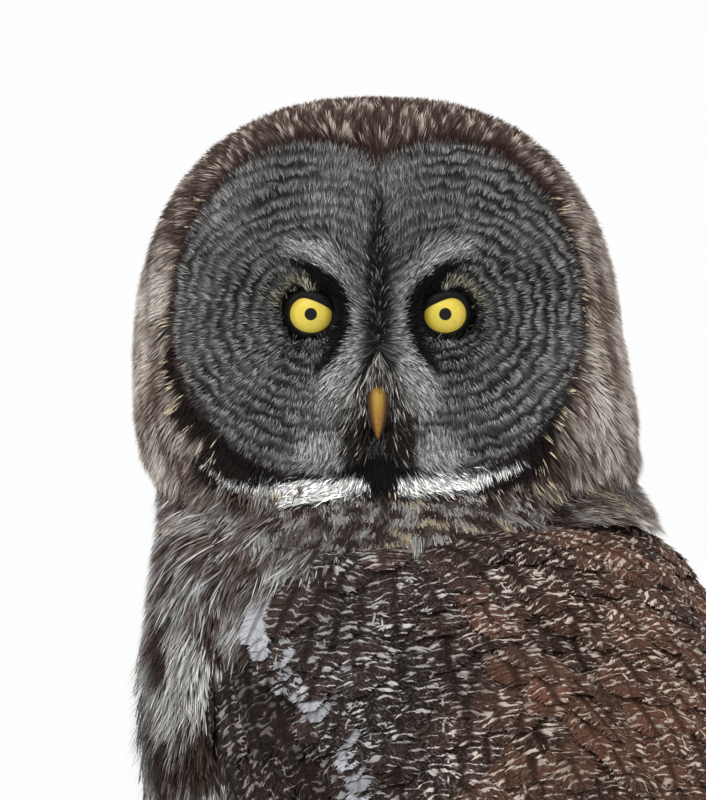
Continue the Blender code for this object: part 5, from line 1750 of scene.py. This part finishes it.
# The wings. Each folds along the body's side: an arm bed under rows of small, median and greater
# coverts, then the secondaries, with the primaries' tips crossing towards the tail.
# Each section: its height, how far its middle is behind the head's axis, half width and half depth.
WING_SECTIONS = np.array((
    (0.330, 0.012, 0.079, 0.084),
    (0.300, 0.021, 0.089, 0.096),
    (0.265, 0.033, 0.098, 0.110),
    (0.235, 0.043, 0.102, 0.118),
    (0.200, 0.056, 0.101, 0.118),
    (0.165, 0.075, 0.093, 0.110),
    (0.135, 0.103, 0.077, 0.093),
    (0.105, 0.141, 0.057, 0.075),
    (0.075, 0.184, 0.044, 0.055),
    (0.050, 0.222, 0.036, 0.042),
))
WING_TOP_Z = 0.312
WING_TIP_Z = 0.062
WING_SWELL = 0.0035
WING_POWER = 2.2
WING_BACK = 58.0
WING_BACK_MORE = 25.0
WING_STEP = 0.004
WING_OUTWARD = np.array((1.0, 0.35, 0.1))
COVERT_BROWN = tone(30, 21, 19)
COVERT_GREY = tone(138, 130, 124)
PRIMARY_GREY = tone(150, 146, 142)
FLIGHT_BARS = 15.0
COVERT_BARS = 12.0
FLIGHT_OUTLINE = ((0.0, 0.4), (0.12, 0.85), (0.5, 1.0), (0.85, 0.95), (0.96, 0.65), (1.0, 0.25))
PRIMARIES = 10
PRIMARY_WIDTH = 0.0165
PRIMARY_STEP = 0.00065
BED_SINK = 0.0018
BED_PAINTED_SHADE = (0.022, 0.016, 0.014)
BED_SIDES = 20
BED_RINGS = 24
BED_START = 0.20
BED_END = 0.78
BED_EDGE = 0.004
BED_DEEPER = 0.010


def wing_place(s, q):
    """A place on the folded left wing: s runs from shoulder to tip, q from breast to spine."""
    z = WING_TOP_Z + (WING_TIP_Z - WING_TOP_Z) * s
    heights = WING_SECTIONS[::-1, 0]
    middle, half_width, half_depth = (np.interp(z, heights, WING_SECTIONS[::-1, k]) for k in (1, 2, 3))
    first = wing_front(z)
    last = WING_BACK + WING_BACK_MORE * np.minimum(s * 1.6, 1.0)
    angle = np.radians(first + (last - first) * q)
    c, n = np.cos(angle), np.sin(angle)
    reach = np.abs(c / half_width) ** WING_POWER + np.abs(n / half_depth) ** WING_POWER
    reach = reach ** (-1 / WING_POWER)
    reach = reach * (1.0 - 0.07 * np.clip(1.0 - q / 0.16, 0.0, 1.0) ** 2 * (s < 0.62))
    return np.stack((reach * c, HEAD_AXIS_Y + middle + reach * n, z), axis=-1)


def wing_swell(s, q):
    """How far the folded arm swells out between the wing's edges, less towards the tip."""
    return WING_SWELL * (1 - (2 * q - 1) ** 2) * np.maximum(1 - s / 0.70, 0.0)


def wing_lines(s0, s1, q0, q1, stations=6):
    """Centrelines of wing feathers from root to tip, on the swollen surface of the folded arm."""
    t = np.linspace(0.0, 1.0, stations)[None]
    s = s0[:, None] + (s1 - s0)[:, None] * t
    q = q0[:, None] + (q1 - q0)[:, None] * t
    down = unit(wing_place(s + WING_STEP, q) - wing_place(s - WING_STEP, q))
    across = unit(wing_place(s, q + WING_STEP) - wing_place(s, q - WING_STEP))
    ups = unit(np.cross(across, down))
    ups = ups * np.sign(dots(ups, WING_OUTWARD))[..., None]
    lines = wing_place(s, q) + ups * wing_swell(s, q)[..., None]
    alongs = unit(np.gradient(lines, axis=1))
    return lines, ups, alongs


# Rows of wing feathers: how many, first and last place across, root's and tip's place along, width,
# root's depth, tip's height, and how strong the bars are.
WING_ROWS = (
    (12, 0.04, 0.98, 0.47, 0.84, 0.020, 0.0016, 0.0010, 0.75),
    (13, 0.05, 0.97, 0.37, 0.60, 0.020, 0.0018, 0.0016, 0.85),
    (12, 0.04, 0.96, 0.29, 0.46, 0.019, 0.0020, 0.0018, 0.85),
    (12, 0.02, 0.98, 0.22, 0.37, 0.018, 0.0020, 0.0020, 0.85),
    (11, 0.04, 0.96, 0.155, 0.295, 0.018, 0.0020, 0.0022, 0.85),
    (11, 0.01, 0.98, 0.095, 0.225, 0.018, 0.0020, 0.0022, 0.85),
    (10, 0.05, 0.96, 0.040, 0.165, 0.018, 0.0020, 0.0022, 0.85),
)
wing_draw = np.random.default_rng(71)
wing_parts = []
flight_shapes = [barbed_shape(22, 0.92, FLIGHT_OUTLINE, 90 + k, 0.04, 0.13) for k in range(2)]
covert_shapes = [barbed_shape(22, 0.86, BROAD_OUTLINE, 95 + k, 0.08, 0.20) for k in range(3)]
for row, (count, q0, q1, s0, s1, width, sink, rise, bars) in enumerate(WING_ROWS):
    places_q = np.linspace(q0, q1, count) + (row % 2) * 0.5 * (q1 - q0) / (count - 1)
    places_q = places_q + wing_draw.uniform(-0.022, 0.022, count)
    starts = s0 + wing_draw.uniform(-0.02, 0.02, count)
    ends = s0 + (s1 - s0) * wing_draw.uniform(0.94, 1.06, count)
    seen = past_scapulars(wing_place((starts + ends) / 2, places_q)) < 10.0
    seen &= (starts > 0.13) | (places_q > 0.30)
    starts, ends, places_q = (values[seen] for values in (starts, ends, places_q))
    count = len(starts)
    lines = wing_lines(starts, ends, places_q, places_q + wing_draw.uniform(-0.035, 0.035, count))
    shape = flight_shapes[row % 2] if row == 0 else covert_shapes[row % 3]
    traits = {"tint": COVERT_BROWN * wing_draw.uniform(0.8, 1.2, (count, 1)),
              "pale": COVERT_GREY, "bars": np.where(wing_draw.random(count) < 0.7, bars, 0.35),
              "streak": 0.3, "count": FLIGHT_BARS if row == 0 else COVERT_BARS}
    wing_parts.append(part_of(shape, lines, width * wing_draw.uniform(0.9, 1.1, count), sink, rise,
                              0.05, lines[0][:, 0], traits, wing_draw))

# The primaries: ten tips stacked under one another, which run on past the secondaries.
primary = np.arange(PRIMARIES)
share = primary / (PRIMARIES - 1)
lines = wing_lines(0.50 + 0.04 * share, 0.84 + 0.16 * share, 0.05 + 0.14 * share, 0.10 + 0.56 * share, 8)
stack = 0.0034 - PRIMARY_STEP * primary
traits = {"tint": COVERT_BROWN * 0.85, "pale": PRIMARY_GREY, "bars": 0.6, "streak": 0.5, "count": 10.0}
wing_parts.append(part_of(flight_shapes[0], lines, PRIMARY_WIDTH, stack, -stack, 0.03, lines[0][:, 0],
                          traits, wing_draw))

# The bed under the feathers, a thin dark form that closes the gaps between their roots; its near-black brown
# is painted shade.
bed_rings = []
for s in np.linspace(BED_START, BED_END, BED_RINGS):
    across_q = np.linspace(0.03, 0.72 + 0.24 * ease(0.40, 0.55, s), BED_SIDES)
    starts = np.full(BED_SIDES, s)
    lines, ups, _ = wing_lines(starts, starts + 0.01, across_q, across_q, 2)
    outer = lines[:, 0] - ups[:, 0] * BED_SINK
    inner = lines[:, 0] - ups[:, 0] * (BED_EDGE + BED_DEEPER * (1 - s / BED_END))
    bed_rings.append(np.concatenate((outer, inner[::-1])))
bed_material = plain_material("painted shade wing bed", BED_PAINTED_SHADE, 0.9, 0.1)

for side, sign in (("left", 1.0), ("right", -1.0)):
    flip = np.array((sign, 1.0, 1.0))
    parts = [{**part, "places": part["places"] * flip} for part in wing_parts]
    piece = coat_piece(f"wing_feathers_{side}", parts, vaned_feather)
    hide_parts(f"wing_{side}")
    bed = loft_mesh(f"wing_bed_{side}", [ring * flip for ring in bed_rings], bed_material)


# The tail. Twelve long barred feathers in a shallow fan, their tips at floor level, under the
# folded wings. From the middle pair out, each feather lies a little below the last.
TAIL_ROOT = np.array((0.0, HEAD_AXIS_Y + 0.150, 0.150))
TAIL_TIP = np.array((0.0, HEAD_AXIS_Y + 0.300, 0.0008))
TAIL_PAIRS = 6
TAIL_HIDDEN = 0.035
TAIL_STEP = 0.00072
TAIL_BOW = 0.004
TAIL_ROOT_HALF = 0.004
TAIL_ROOT_SPREAD = 0.010
TAIL_FAN = 0.0035
TAIL_FAN_MORE = 0.034
TAIL_STATIONS = 8
TAIL_WIDTH = 0.024
TAIL_GREY = tone(158, 152, 146)

tail_way = unit(TAIL_TIP - TAIL_ROOT)
tail_length = np.linalg.norm(TAIL_TIP - TAIL_ROOT)
tail_up = np.array((0.0, -tail_way[2], tail_way[1]))
tail_draw = np.random.default_rng(81)
shares = np.linspace(0.0, 1.0, TAIL_STATIONS)
tail_lines = []
for pair in range(TAIL_PAIRS):
    for sign in (-1.0, 1.0):
        out = pair / (TAIL_PAIRS - 1)
        below = TAIL_STEP * (2 * pair + (sign < 0))
        root_half = TAIL_ROOT_HALF + TAIL_ROOT_SPREAD * out
        side_of = sign * (root_half + (TAIL_FAN + TAIL_FAN_MORE * out) * shares)
        along = TAIL_HIDDEN + (tail_length - TAIL_HIDDEN - below) * shares
        bow = TAIL_BOW * np.sin(math.pi * along / tail_length)
        line = (TAIL_ROOT + tail_way * along[:, None] + np.array((1.0, 0.0, 0.0)) * side_of[:, None]
                + tail_up * (bow - below)[:, None])
        tail_lines.append(line)
tail_lines = np.array(tail_lines)
ups = np.tile(tail_up, tail_lines.shape[:2] + (1,))
alongs = unit(np.gradient(tail_lines, axis=1))
traits = {"tint": COVERT_BROWN, "pale": TAIL_GREY, "bars": 0.85, "streak": 0.4, "count": 9.0}
tail_part = part_of(flight_shapes[1], (tail_lines, ups, alongs), TAIL_WIDTH, 0.0, 0.0, 0.0,
                    tail_lines[:, 0], traits, tail_draw)
tail_part["places"][..., 2] = np.maximum(tail_part["places"][..., 2], LOWEST_FEATHER)
tail = coat_piece("tail_feathers", [tail_part], vaned_feather)
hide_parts("tail")


# The claws. Curved black horn, smooth and slightly glossy, one on each toe. They are the CAD's own
# nodes, given their material here.
CLAW_BLACK = (0.012, 0.011, 0.011)

claw_material = plain_material("claw horn", CLAW_BLACK, 0.28)
for name, claw in sorted(nodes.items()):
    if name.startswith("claw_"):
        claw.data.materials.clear()
        claw.data.materials.append(claw_material)
